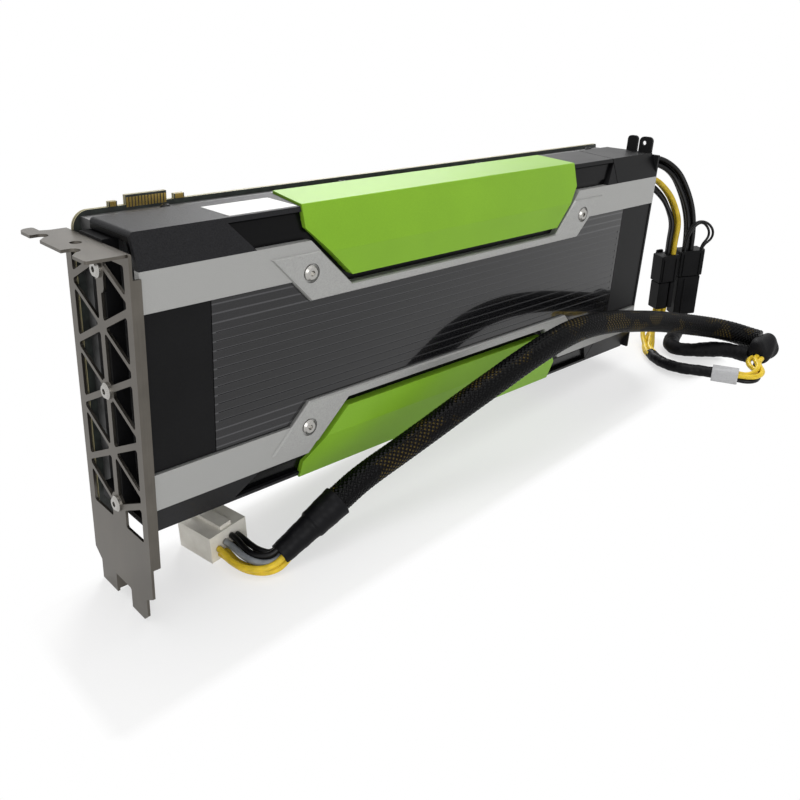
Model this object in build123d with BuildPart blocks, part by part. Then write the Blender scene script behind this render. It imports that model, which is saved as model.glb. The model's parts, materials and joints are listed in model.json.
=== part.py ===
from build123d import *
import math
import os

os.makedirs("parts", exist_ok=True)

# All lengths are millimetres. The card's own axes: X from the outer face of the slot bracket to
# the rear end of the board, Y from the bracket's near edge to its far edge, Z up from the tips of
# the slot tongues. The finished card leans on its tongue tips and the board's rear lower corner.

# Board
LENGTH = 267.0
BOARD_HEIGHT = 111.15
BOARD_TOP = 125.2
BOARD = 1.57
BOARD_FACE = 34.8
BOARD_START = 1.3
BOARD_CORNER = 5.0
FINGER_DEPTH = 8.25
FINGER_START = 44.5
FINGER_END = 129.75
KEY_CENTRE = 57.15
KEY_WIDTH = 1.9
BRIDGE_START = 18.4
BRIDGE_END = 32.3
BRIDGE_RISE = 2.9
GROUND_TAB_RISE = 1.5
GROUND_TABS = ((12.9, 15.6), (35.0, 38.6))
PAD_PITCH = 1.0
PAD_WIDTH = 0.7
PAD_LENGTH = 5.2
PAD = 0.1
PADS_BEFORE_KEY = 11
PADS_AFTER_KEY = 71
BRIDGE_PADS = 13

# Slot bracket
SHEET = 0.9
BRACKET_WIDTH = 38.74
BRACKET_HEIGHT = 120.02
SLOT_PITCH = 20.32
TONGUE_START = 4.115
TONGUE_WIDTH = 10.19
SHOULDER = 7.2
SHOULDER_FAR = 10.6
SHOULDER_NEAR = 11.2
TONGUE_STEP = 8.7
TIP_CHAMFER = 2.3
FOLD_DEPTH = 2.5
FOLD_LOW = 21.5
FOLD_HIGH = 113.0
RIB_FOLD_DEPTH = 7.0
RIB_FOLD_HIGH = 11.0
FLANGE_DEPTH = 11.43
FLANGE_NEAR = 0.9
EAR_REACH = 44.5
EAR_WIDTH = 4.6
NOTCH_WIDTH = 4.4
NOTCH_ROOT = 7.0
NOTCH_FLARE = 2.6
FAR_NOTCH = 33.4
HOOK_HOLE = 3.4
HOOK_HOLE_DEPTH = 4.7
HOOK_HOLE_Y = 20.6

# Grille of the slot bracket
GRILLE_NEAR = 3.2
GRILLE_FAR = 35.2
GRILLE_TOP = 116.5
GRILLE_BOTTOM = 30.4
RIB_Y = 18.9
RIB_WIDTH = 2.5
CROSS_WIDTH = 2.0
BRACE_WIDTH = 1.4
NODE_FIRST = 35.0
NODE_PITCH = 20.1
NODE_COUNT = 5
STRUT_SLOPE = 0.52
GRILLE_ROUND = 0.8
BOSS_RADIUS = 3.7
LUG_DROP = 4.6
LUG_RADIUS = 2.1
BRACKET_SCREW_Z = (36.8, 75.2, 112.3)

# Post behind the grille
POST_WIDTH = 5.0
POST_DEPTH = 5.0
POST_LOW = 34.2
POST_HIGH = 120.8
POST_ARM = 5.0
TAP_RADIUS = 1.35

# Screws
SCREW_SHANK = 1.25
SCREW_HEAD = 2.6
SCREW_HEAD_RISE = 1.3
SCREW_LENGTH = 4.4
SOCKET_FLATS = 2.0
SOCKET_DEPTH = 0.8
SMALL_SHANK = 0.8
SMALL_HEAD = 1.6
SMALL_HEAD_RISE = 0.9
SMALL_LENGTH = 2.2
HOLE_CLEARANCE = 0.1

# Shroud
SHELL_START = 3.7
FRONT = 1.8
SHROUD_TOP = 124.4
SHROUD_BOTTOM = 30.6
RAIL_OUTER = 114.4
RAIL_INNER = 102.4
RAIL = 2.5
BEVEL_DEPTH = 4.0
CAP = 1.5
SHELL_WALL = 1.5
LEDGE = 28.8
PANEL_RECESS = 1.0
PANEL_GAP = 0.15
NAME_PANEL_END = 26.7
LINED_PANEL_END = 244.3
GROOVE_PITCH = 2.9
GROOVE_WIDTH = 0.5
GROOVE_DEPTH = 0.3
GROOVE_INSET = 1.2
CORNER_ROUND = 1.2

# Ears and strips of the rails, with the coloured accents between them
EAR_START = 55.6
EAR_END = 215.3
EAR_DROP = 7.5
EAR_RAISE = 0.7
RIDGE = 110.8
STRIP_INNER = 98.1
ACCENT_LOW = 101.0
ACCENT_FACET = 110.0
ACCENT_PROUD = 0.8
ACCENT_START = 62.0
ACCENT_END = 205.4
ACCENT_LOW_START = 80.2
ACCENT_LOW_END = 192.3
ACCENT_SIDE_START = 118.1
ACCENT_SIDE_END = 116.3
ACCENT_BACK = 27.9
ACCENT_SKEW = 6.0
ACCENT_EDGE = 0.5
BAND = 2.9
TOP_GAP = 0.2
RAIL_SCREW_X = (62.9, 210.1)
RAIL_SCREW_Z = 104.2
RAIL_SCREW_SINK = 0.8
RAIL_SCREW_RING = 3.2
WINDOW_TOP = 34.7
WINDOW_LOW = 42.5
REAR_SEAM = 235.0
REAR_SEAM_SKEW = 9.0
SEAM = 0.4
STICKER_START = 36.5
STICKER_LENGTH = 25.0
STICKER_FRONT = 7.0
STICKER_WIDTH = 15.2
STICKER = 0.12

# Base plate, heat sink and parts on the board
BASE_FRONT = 30.2
BASE_PLATE = 2.0
BASE_TOP = 123.6
LIP = 2.6
END_RIB = 2.4
GPU_X = 118.0
GPU_Z = 77.0
GPU_WINDOW = 60.0
SUBSTRATE = 55.0
SUBSTRATE_RISE = 1.7
DIE_LENGTH = 26.0
DIE_WIDTH = 24.0
DIE_RISE = 0.8
STACK_LENGTH = 12.0
STACK_WIDTH = 8.0
STACK_GAP = 1.0
VRM_START = 176.0
VRM_END = 236.0
VRM_LOW = 46.0
VRM_HIGH = 112.0
INDUCTOR = 10.0
INDUCTOR_RISE = 4.2
INDUCTOR_PITCH = 13.0
INDUCTOR_ROWS = 5
CAPACITOR_RADIUS = 3.1
CAPACITOR_RISE = 4.0
MOSFET_LENGTH = 5.0
MOSFET_WIDTH = 6.0
MOSFET_RISE = 1.0
MOSFET_OFFSET = 5.0
SINK_START = 14.0
SINK_END = 250.0
SINK_BASE = 4.0
SINK_LOW = 36.0
SINK_HIGH = 119.0
FIN = 0.4
FIN_PITCH = 2.2
FIN_FRONT = 6.5
SINK_PEDESTAL = 50.0

# Plate behind the board
BACKPLATE = 1.2
BACKPLATE_GAP = 0.6
BACKPLATE_START = 14.0
BACKPLATE_END = 262.0
BACKPLATE_LOW = 32.0
BACKPLATE_HIGH = 122.0
BACKPLATE_WINDOW = 66.0
STANDOFF_RADIUS = 3.0
STANDOFF_X = (20.0, 72.0, 164.0, 256.0)
STANDOFF_Z = (38.0, 116.0)
SPRING_SPAN = 52.0
SPRING_ARM = 8.0
SPRING = 1.0

# Power socket and the plate with the tabs at the rear end
SOCKET_LENGTH = 13.0
SOCKET_HEIGHT = 19.0
SOCKET_DEPTH_Y = 9.8
SOCKET_LOW = 97.0
SOCKET_WALL = 1.1
SOCKET_FLOOR = 3.0
PLUG_GAP = 0.15
REAR_PLATE = 1.2
REAR_FRAME_FRONT = 2.5
REAR_FRAME_BAR = 5.0
REAR_FRAME_BACK = 28.5
TAB_TOP = 131.0
TAB_NEAR = (6.5, 12.8)
TAB_FAR = (13.8, 18.8)
TAB_HOLE_Y = 10.5
TAB_HOLE_Z = 128.2
TAB_HOLE = 1.0

# Power cables, in standing axes with the floor at zero
PLUG_BODY = 9.0
WIRE = 2.2
PIGTAIL = 5.6
SENSE_WIRE = 1.4
HOUSING_GAP = 0.4
HOUSING_WIDTH = 18.0
HOUSING_THICKNESS = 10.0
HOUSING_YAW = -18.0
HOUSING_X = 311.0
HOUSING_Y = 6.4
HOUSING_TOP = 47.5
HOUSING_JOINT = 35.0
HOUSING_BOTTOM = 16.5
HOUSING_WALL = 1.2
HOUSING_NOSE = 9.0
SPLIT = 0.7
SPLIT_PLACE = 12.0
LATCH_DEPTH = 1.4
LATCH_WIDTH = 5.0
SLEEVE = 10.0
SHRINK = 8.6
BRANCH_A = 5.4
BRANCH_B = 7.6
LABEL = 6.8
TAPE_X = 314.5
TAPE_Y = -43.4
TAPE_LOW = 0.8
TAPE_LENGTH = 17.0
TAPE_WIDTH = 8.4
TAPE_HEIGHT = 13.2
TAPE_ROUND = 3.2
CONNECTOR_WIDTH = 16.8
CONNECTOR_HEIGHT = 10.4
CONNECTOR_LENGTH = 17.0
CONNECTOR_YAW = 8.0
CONNECTOR_X = 39.4
CONNECTOR_Y = 15.6
CONNECTOR_WALL = 1.1
CONNECTOR_CAVITY = 10.0
CONNECTOR_SAG = 0.2
LOOM = 7.0
ARC_SHARE = 0.45

# Places that follow from the sizes above
board_bottom = BOARD_TOP - BOARD_HEIGHT + FINGER_DEPTH
board_back = BOARD_FACE + BOARD
middle = (SHROUD_TOP + SHROUD_BOTTOM) / 2
shell_front = FRONT + RAIL
bevel_rise = SHROUD_TOP - RAIL_OUTER
bevel_length = math.hypot(BEVEL_DEPTH, bevel_rise)
near_notch = FAR_NOTCH - SLOT_PITCH
node_heights = [NODE_FIRST + NODE_PITCH * i for i in range(NODE_COUNT)]
lean = math.degrees(math.atan2(board_bottom, LENGTH - SHEET))
mirror_plane = Plane.XY.offset(middle)


def bevel_height(y, depth):
    """Height at the distance y of the line that lies a depth under the bevelled face."""
    return RAIL_OUTER + ((y - FRONT) * bevel_rise - depth * bevel_length) / BEVEL_DEPTH


def bevel_distance(z, depth):
    """Distance y at the height z of the line that lies a depth under the bevelled face."""
    return FRONT + ((z - RAIL_OUTER) * BEVEL_DEPTH + depth * bevel_length) / bevel_rise


def front_plane(y):
    """Plane facing the near side at the distance y, with X to the right and Z up."""
    return Plane(origin=(0, y, 0), x_dir=(1, 0, 0), z_dir=(0, -1, 0))


def shifted_line(start, end, gap):
    """The line from start to end moved to its left by the gap, as a point and a direction."""
    along = (Vector(*end) - Vector(*start)).normalized()
    left = Vector(-along.Y, along.X)
    return Vector(*start) + left * gap, along


def crossing(first, second):
    """The point where two lines meet, each given as a point and a direction."""
    (p, d), (q, e) = first, second
    share = ((q.X - p.X) * e.Y - (q.Y - p.Y) * e.X) / (d.X * e.Y - d.Y * e.X)
    return p + d * share


def opening(corners, gaps):
    """Outline inside counter-clockwise corners, each side moved in by its own gap."""
    count = len(corners)
    sides = [shifted_line(corners[i], corners[(i + 1) % count], gaps[i]) for i in range(count)]
    return [crossing(sides[i - 1], sides[i]) for i in range(count)]


def rounded_hole(corners):
    """Face with the given corners, each rounded."""
    with BuildSketch() as hole:
        with BuildLine():
            Polyline([(corner.X, corner.Y) for corner in corners], close=True)
        make_face()
        fillet(hole.vertices(), radius=GRILLE_ROUND)
    return hole.sketch


# Slot bracket: one sheet with a truss grille, a flange, a near edge fold and two tongues
far_reach = GRILLE_FAR - RIB_Y
near_reach = RIB_Y - GRILLE_NEAR
half_rib = RIB_WIDTH / 2
half_cross = CROSS_WIDTH / 2
half_brace = BRACE_WIDTH / 2
openings = []
for low, high in zip(node_heights, node_heights[1:]):
    far_low = (GRILLE_FAR, low + STRUT_SLOPE * far_reach)
    far_high = (GRILLE_FAR, high - STRUT_SLOPE * far_reach)
    near_low = (GRILLE_NEAR, low + STRUT_SLOPE * near_reach)
    near_high = (GRILLE_NEAR, high - STRUT_SLOPE * near_reach)
    openings.append(
        opening(
            [(RIB_Y, low), far_low, far_high, (RIB_Y, high)],
            [half_brace, 0, half_cross, half_rib],
        )
    )
    openings.append(
        opening(
            [(RIB_Y, low), (RIB_Y, high), near_high, near_low],
            [half_rib, half_brace, 0, half_cross],
        )
    )
for height in node_heights[1:-1]:
    far_low = (GRILLE_FAR, height - STRUT_SLOPE * far_reach)
    far_high = (GRILLE_FAR, height + STRUT_SLOPE * far_reach)
    near_low = (GRILLE_NEAR, height - STRUT_SLOPE * near_reach)
    near_high = (GRILLE_NEAR, height + STRUT_SLOPE * near_reach)
    openings.append(opening([(RIB_Y, height), far_low, far_high], [half_cross, 0, half_brace]))
    openings.append(opening([(RIB_Y, height), near_high, near_low], [half_cross, 0, half_brace]))
bottom, top = node_heights[0], node_heights[-1]
end_wall = BOSS_RADIUS + half_rib
openings.append(
    opening(
        [
            (RIB_Y, bottom),
            (RIB_Y, GRILLE_BOTTOM),
            (GRILLE_FAR, GRILLE_BOTTOM),
            (GRILLE_FAR, bottom + STRUT_SLOPE * far_reach),
        ],
        [BOSS_RADIUS, 0, 0, half_brace],
    )
)
openings.append(
    opening(
        [
            (RIB_Y, bottom),
            (GRILLE_NEAR, bottom + STRUT_SLOPE * near_reach),
            (GRILLE_NEAR, GRILLE_BOTTOM),
            (RIB_Y, GRILLE_BOTTOM),
        ],
        [half_cross, 0, 0, end_wall],
    )
)
openings.append(
    opening(
        [
            (RIB_Y, top),
            (GRILLE_FAR, top - STRUT_SLOPE * far_reach),
            (GRILLE_FAR, GRILLE_TOP),
            (RIB_Y, GRILLE_TOP),
        ],
        [half_cross, 0, 0, BOSS_RADIUS],
    )
)
openings.append(
    opening(
        [
            (RIB_Y, top),
            (RIB_Y, GRILLE_TOP),
            (GRILLE_NEAR, GRILLE_TOP),
            (GRILLE_NEAR, top - STRUT_SLOPE * near_reach),
        ],
        [BOSS_RADIUS, 0, 0, half_brace],
    )
)

tongue_end = TONGUE_START + TONGUE_WIDTH
far_tongue = TONGUE_START + SLOT_PITCH
far_tongue_end = far_tongue + TONGUE_WIDTH
plate_outline = [
    (0, BRACKET_HEIGHT),
    (0, SHOULDER_NEAR),
    (TONGUE_START, TONGUE_STEP),
    (TONGUE_START, TIP_CHAMFER),
    (TONGUE_START + TIP_CHAMFER, 0),
    (tongue_end, 0),
    (tongue_end, SHOULDER),
    (far_tongue, SHOULDER),
    (far_tongue, 0),
    (far_tongue_end, 0),
    (far_tongue_end, SHOULDER),
    (BRACKET_WIDTH, SHOULDER_FAR),
    (BRACKET_WIDTH, BRACKET_HEIGHT),
]
flange_outline = [
    (SHEET, FLANGE_NEAR),
    (SHEET, BRACKET_WIDTH),
    (EAR_WIDTH - FLANGE_DEPTH + NOTCH_FLARE, BRACKET_WIDTH),
    (EAR_WIDTH - FLANGE_DEPTH, BRACKET_WIDTH + SHEET),
    (EAR_WIDTH - FLANGE_DEPTH, EAR_REACH),
    (-FLANGE_DEPTH, EAR_REACH),
    (-FLANGE_DEPTH, FLANGE_NEAR),
]
with BuildPart() as io_bracket:
    with BuildSketch(Plane.YZ) as plate:
        with BuildLine():
            Polyline(plate_outline, close=True)
        make_face()
        fillet(plate.vertices().group_by(Axis.Y)[2].sort_by(Axis.X)[0], radius=SHEET)
        add([rounded_hole(corners) for corners in openings], mode=Mode.SUBTRACT)
        with Locations([(RIB_Y, height) for height in BRACKET_SCREW_Z]):
            Circle(BOSS_RADIUS)
        with Locations((RIB_Y - LUG_RADIUS / 2, BRACKET_SCREW_Z[-1] - LUG_DROP / 2)):
            Rectangle(2 * LUG_RADIUS, LUG_DROP)
        with Locations((RIB_Y - LUG_RADIUS / 2, BRACKET_SCREW_Z[-1] - LUG_DROP)):
            Circle(LUG_RADIUS)
    extrude(amount=SHEET)
    with BuildSketch(Plane.XY.offset(BRACKET_HEIGHT - SHEET)) as flange:
        with BuildLine():
            Polyline(flange_outline, close=True)
        make_face()
        ear_corners = flange.vertices().group_by(Axis.Y)[-1].sort_by(Axis.X)
        fillet(ear_corners[0], radius=EAR_WIDTH * 0.7)
        fillet(flange.vertices().group_by(Axis.Y)[-1].sort_by(Axis.X)[-1], radius=SHEET)
        fillet(flange.vertices().group_by(Axis.Y)[0].sort_by(Axis.X)[0], radius=SHEET)
        for notch in (near_notch, FAR_NOTCH):
            with Locations((-NOTCH_ROOT - NOTCH_WIDTH / 2, notch)):
                Circle(NOTCH_WIDTH / 2, mode=Mode.SUBTRACT)
            with BuildLine():
                Polyline(
                    (-NOTCH_ROOT - NOTCH_WIDTH / 2, notch + NOTCH_WIDTH / 2),
                    (-NOTCH_ROOT - NOTCH_WIDTH / 2, notch - NOTCH_WIDTH / 2),
                    (-FLANGE_DEPTH, notch - NOTCH_WIDTH / 2 - NOTCH_FLARE),
                    (-FLANGE_DEPTH - SHEET, notch - NOTCH_WIDTH / 2 - NOTCH_FLARE),
                    (-FLANGE_DEPTH - SHEET, notch + NOTCH_WIDTH / 2),
                    close=True,
                )
            make_face(mode=Mode.SUBTRACT)
        with Locations((-HOOK_HOLE_DEPTH, HOOK_HOLE_Y)):
            Circle(HOOK_HOLE / 2, mode=Mode.SUBTRACT)
    extrude(amount=SHEET)
    with BuildSketch(Plane.XY.offset(FOLD_LOW)):
        Rectangle(SHEET + FOLD_DEPTH, SHEET, align=(Align.MIN, Align.MIN))
    extrude(amount=FOLD_HIGH - FOLD_LOW)
    with BuildSketch(front_plane(far_tongue)) as rib_fold:
        with Locations((0, SHEET)):
            Rectangle(SHEET + RIB_FOLD_DEPTH, RIB_FOLD_HIGH, align=(Align.MIN, Align.MIN))
        rear_corners = rib_fold.vertices().group_by(Axis.X)[-1]
        fillet(rear_corners, radius=RIB_FOLD_DEPTH * 0.6)
    extrude(amount=-SHEET)
    with BuildSketch(Plane.YZ):
        with Locations([(RIB_Y, height) for height in BRACKET_SCREW_Z]):
            Circle(SCREW_SHANK + HOLE_CLEARANCE)
    extrude(amount=SHEET, mode=Mode.SUBTRACT)


def socket_screw(plane, places, head, head_rise, shank, length, flats):
    """Button head screws on a plane: heads stand out of it and shanks go into it."""
    with BuildPart() as screws:
        with BuildSketch(plane):
            with Locations(places):
                Circle(head)
        extrude(amount=head_rise)
        tops = screws.faces().sort_by(Axis(plane.origin, plane.z_dir))[-len(places):]
        chamfer(tops.edges(), head_rise / 2)
        with BuildSketch(plane.offset(head_rise)):
            with Locations(places):
                RegularPolygon(flats / 2, 6)
        extrude(amount=-head_rise * SOCKET_DEPTH, mode=Mode.SUBTRACT)
        with BuildSketch(plane):
            with Locations(places):
                Circle(shank)
        extrude(amount=-length)
    return screws.part


bracket_screws = socket_screw(
    Plane(origin=(0, 0, 0), x_dir=(0, -1, 0), z_dir=(-1, 0, 0)),
    [(-RIB_Y, height) for height in BRACKET_SCREW_Z],
    SCREW_HEAD,
    SCREW_HEAD_RISE,
    SCREW_SHANK,
    SCREW_LENGTH,
    SOCKET_FLATS,
)

# Post behind the grille with an arm at each end that rests on the base plate
with BuildPart() as bracket_post:
    with BuildSketch(Plane.YZ.offset(SHEET)):
        with Locations((RIB_Y, (POST_LOW + POST_HIGH) / 2)):
            Rectangle(POST_WIDTH, POST_HIGH - POST_LOW)
        arm_length = BASE_FRONT - RIB_Y
        with Locations((RIB_Y, POST_LOW)):
            Rectangle(arm_length, POST_ARM, align=(Align.MIN, Align.MIN))
        with Locations((RIB_Y, POST_HIGH)):
            Rectangle(arm_length, POST_ARM, align=(Align.MIN, Align.MAX))
    extrude(amount=POST_DEPTH)
    with BuildSketch(Plane.YZ.offset(SHEET)):
        with Locations([(RIB_Y, height) for height in BRACKET_SCREW_Z]):
            Circle(TAP_RADIUS)
    extrude(amount=POST_DEPTH, mode=Mode.SUBTRACT)

# Board with its slot finger, the bridge finger and two ground tabs on its upper edge
with BuildPart() as board:
    with BuildSketch(front_plane(BOARD_FACE)) as board_sketch:
        with Locations((BOARD_START, board_bottom)):
            Rectangle(LENGTH - BOARD_START, BOARD_TOP - board_bottom, align=(Align.MIN, Align.MIN))
        fillet(board_sketch.vertices().group_by(Axis.X)[0], radius=BOARD_CORNER)
        fillet(board_sketch.vertices().group_by(Axis.X)[-1], radius=SHEET)
        with Locations((FINGER_START, board_bottom - FINGER_DEPTH)):
            Rectangle(FINGER_END - FINGER_START, BOARD_CORNER + FINGER_DEPTH, align=(Align.MIN, Align.MIN))
        with Locations((KEY_CENTRE, board_bottom - FINGER_DEPTH)):
            Rectangle(KEY_WIDTH, 2 * FINGER_DEPTH, mode=Mode.SUBTRACT)
        with Locations((BRIDGE_START, BOARD_TOP)):
            Rectangle(BRIDGE_END - BRIDGE_START, 2 * BRIDGE_RISE, align=(Align.MIN, Align.CENTER))
        for start, end in GROUND_TABS:
            with Locations((start, BOARD_TOP)):
                Rectangle(end - start, 2 * GROUND_TAB_RISE, align=(Align.MIN, Align.CENTER))
    extrude(amount=-BOARD)

finger_pad_z = board_bottom - FINGER_DEPTH + 1.0
before_key = KEY_CENTRE - KEY_WIDTH / 2 - PAD_PITCH / 2
after_key = KEY_CENTRE + KEY_WIDTH / 2 + PAD_PITCH / 2
pad_places = [(before_key - PAD_PITCH * i, finger_pad_z) for i in range(PADS_BEFORE_KEY)]
pad_places += [(after_key + PAD_PITCH * i, finger_pad_z) for i in range(PADS_AFTER_KEY)]
with BuildPart() as edge_contacts:
    with BuildSketch(front_plane(BOARD_FACE)):
        with Locations(pad_places):
            Rectangle(PAD_WIDTH, PAD_LENGTH, align=(Align.CENTER, Align.MIN))
    extrude(amount=PAD)
    with BuildSketch(front_plane(board_back)):
        with Locations(pad_places):
            Rectangle(PAD_WIDTH, PAD_LENGTH, align=(Align.CENTER, Align.MIN))
    extrude(amount=-PAD)

bridge_pitch = (BRIDGE_END - BRIDGE_START) / BRIDGE_PADS
bridge_places = [
    (BRIDGE_START + bridge_pitch * (i + 0.5), BOARD_TOP - BRIDGE_RISE / 4) for i in range(BRIDGE_PADS)
]
with BuildPart() as bridge_contacts:
    for plane, outward in ((front_plane(BOARD_FACE), PAD), (front_plane(board_back), -PAD)):
        with BuildSketch(plane):
            with Locations(bridge_places):
                Rectangle(PAD_WIDTH, BRIDGE_RISE, align=(Align.CENTER, Align.MIN))
            for start, end in GROUND_TABS:
                with Locations(((start + end) / 2, BOARD_TOP)):
                    Rectangle(end - start - PAD_WIDTH, GROUND_TAB_RISE, align=(Align.CENTER, Align.MIN))
        extrude(amount=outward)

# Shell of the shroud: a long channel with bevelled corners, open at both ends for the air
upper_half = [
    (shell_front, middle),
    (shell_front, bevel_height(shell_front, CAP)),
    (bevel_distance(SHROUD_TOP - CAP, CAP), SHROUD_TOP - CAP),
    (LEDGE, SHROUD_TOP - CAP),
]
inner_depth = CAP + SHELL_WALL
inner_half = [
    (LEDGE, SHROUD_TOP - inner_depth),
    (bevel_distance(SHROUD_TOP - inner_depth, inner_depth), SHROUD_TOP - inner_depth),
    (shell_front + SHELL_WALL, bevel_height(shell_front + SHELL_WALL, inner_depth)),
    (shell_front + SHELL_WALL, middle),
]
with BuildPart() as shroud_shell:
    with BuildSketch(Plane.YZ.offset(SHELL_START)):
        with BuildLine():
            Polyline(upper_half + inner_half, close=True)
        make_face()
        mirror(about=Plane.XZ.offset(-middle))
    extrude(amount=LENGTH - SHELL_START)
    with BuildSketch(front_plane(shell_front)):
        with Locations([(x, z) for x in RAIL_SCREW_X for z in (RAIL_SCREW_Z, 2 * middle - RAIL_SCREW_Z)]):
            Circle(SCREW_SHANK + HOLE_CLEARANCE)
    extrude(amount=-SHELL_WALL, mode=Mode.SUBTRACT)

# Covers on the bevel and the top: a bevelled angle section cut to each cover's outline
cover_section = [
    (FRONT, RAIL_OUTER),
    (bevel_distance(SHROUD_TOP, 0), SHROUD_TOP),
    (LEDGE, SHROUD_TOP),
    (LEDGE, SHROUD_TOP - CAP),
    (bevel_distance(SHROUD_TOP - CAP, CAP), SHROUD_TOP - CAP),
    (shell_front, bevel_height(shell_front, CAP)),
    (shell_front, RAIL_OUTER),
]


def cover_slab(outline, section=cover_section):
    """The cover section kept where it lies over an outline drawn from above."""
    with BuildPart() as cover:
        with BuildSketch(Plane.YZ):
            with BuildLine():
                Polyline(section, close=True)
            make_face()
        extrude(amount=LENGTH)
        with BuildSketch(Plane.XY):
            with BuildLine():
                Polyline(outline, close=True)
            make_face()
        extrude(amount=BOARD_TOP + CAP, mode=Mode.INTERSECT)
    return cover.part


bevel_back = FRONT + BEVEL_DEPTH
accent_skew = ACCENT_SKEW / (ACCENT_BACK - bevel_back)


def skewed(x, y):
    """A position along the card moved to the rear with the distance behind the bevel."""
    return x + accent_skew * max(0.0, y - bevel_back)


front_cover_outline = [
    (SHELL_START, -LEDGE),
    (SHELL_START, LEDGE),
    (skewed(ACCENT_START - TOP_GAP, LEDGE), LEDGE),
    (ACCENT_START - TOP_GAP, bevel_back),
    (ACCENT_START - TOP_GAP, -LEDGE),
]
with BuildPart() as front_cap_upper:
    add(cover_slab(front_cover_outline))
    with BuildSketch(front_plane(0)):
        with BuildLine():
            Polyline(
                (WINDOW_TOP, SHROUD_TOP - CAP),
                (WINDOW_LOW, RAIL_OUTER),
                (ACCENT_START, RAIL_OUTER),
                (ACCENT_START, SHROUD_TOP - CAP),
                close=True,
            )
        make_face()
    extrude(amount=-bevel_distance(SHROUD_TOP - CAP, CAP), mode=Mode.SUBTRACT)
    front_edge = front_cap_upper.faces().sort_by(Axis.X)[0].edges().sort_by(Axis.Z)[-1]
    fillet(front_edge, radius=CORNER_ROUND)

rear_slant = REAR_SEAM_SKEW / (LEDGE - bevel_back)
trim_outline = [
    (ACCENT_END + TOP_GAP, -LEDGE),
    (ACCENT_END + TOP_GAP, bevel_back),
    (skewed(ACCENT_END + TOP_GAP, LEDGE), LEDGE),
    (REAR_SEAM + REAR_SEAM_SKEW - SEAM, LEDGE),
    (REAR_SEAM - SEAM, bevel_back),
    (REAR_SEAM - SEAM, -LEDGE),
]
with BuildPart() as rear_trim_upper:
    add(cover_slab(trim_outline))
    with BuildSketch(front_plane(0)):
        with BuildLine():
            Polyline(
                (ACCENT_END, SHROUD_TOP - CAP),
                (ACCENT_END, RAIL_OUTER),
                (REAR_SEAM - (WINDOW_LOW - WINDOW_TOP), RAIL_OUTER),
                (REAR_SEAM, SHROUD_TOP - CAP),
                close=True,
            )
        make_face()
    extrude(amount=-bevel_distance(SHROUD_TOP - CAP, CAP), mode=Mode.SUBTRACT)

rear_cap_outline = [
    (REAR_SEAM, -LEDGE),
    (REAR_SEAM, bevel_back),
    (REAR_SEAM + REAR_SEAM_SKEW, LEDGE),
    (LENGTH, LEDGE),
    (LENGTH, -LEDGE),
]
with BuildPart() as rear_cap_upper:
    add(cover_slab(rear_cap_outline))

# Coloured accent: stands proud of the covers, with its own facet line and cut corners
accent_front = FRONT - ACCENT_PROUD
accent_top = SHROUD_TOP + ACCENT_PROUD
accent_section = [
    (accent_front, ACCENT_LOW),
    (accent_front, ACCENT_FACET),
    (bevel_back - ACCENT_PROUD / 2, accent_top),
    (ACCENT_BACK, accent_top),
    (ACCENT_BACK, SHROUD_TOP - CAP),
    (bevel_distance(SHROUD_TOP - CAP, CAP), SHROUD_TOP - CAP),
    (shell_front, bevel_height(shell_front, CAP)),
    (shell_front, ACCENT_LOW),
]
accent_outline = [
    (ACCENT_START, -LEDGE),
    (ACCENT_START, bevel_back),
    (skewed(ACCENT_START, LEDGE), LEDGE),
    (skewed(ACCENT_END, LEDGE), LEDGE),
    (ACCENT_END, bevel_back),
    (ACCENT_END, -LEDGE),
]
with BuildPart() as upper_accent:
    add(cover_slab(accent_outline, accent_section))
    with BuildSketch(front_plane(-LEDGE)):
        with BuildLine():
            Polyline(
                (ACCENT_START, ACCENT_SIDE_START),
                (ACCENT_LOW_START, ACCENT_LOW),
                (ACCENT_START, ACCENT_LOW),
                close=True,
            )
        make_face()
        with BuildLine():
            Polyline(
                (ACCENT_END, ACCENT_SIDE_END),
                (ACCENT_LOW_END, ACCENT_LOW),
                (ACCENT_END, ACCENT_LOW),
                close=True,
            )
        make_face()
    extrude(amount=-2 * LEDGE, mode=Mode.SUBTRACT)
    top_rim = upper_accent.faces().sort_by(Axis.Z)[-1].edges().sort_by(Axis.Y)[0]
    fillet(top_rim, radius=ACCENT_EDGE)

# Rails: the ears around the screws stand proud and carry on as a strip under the accent
start_slope = (ACCENT_LOW_START - ACCENT_START) / (ACCENT_SIDE_START - ACCENT_LOW)
end_slope = (ACCENT_END - ACCENT_LOW_END) / (ACCENT_SIDE_END - ACCENT_LOW)


def band_start(z):
    """Place along the card of the band's outer edge beside the accent's front corner."""
    return ACCENT_LOW_START - BAND - start_slope * (z - ACCENT_LOW)


def band_end(z):
    """Place along the card of the band's outer edge beside the accent's rear corner."""
    return ACCENT_LOW_END + BAND + end_slope * (z - ACCENT_LOW)


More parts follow.
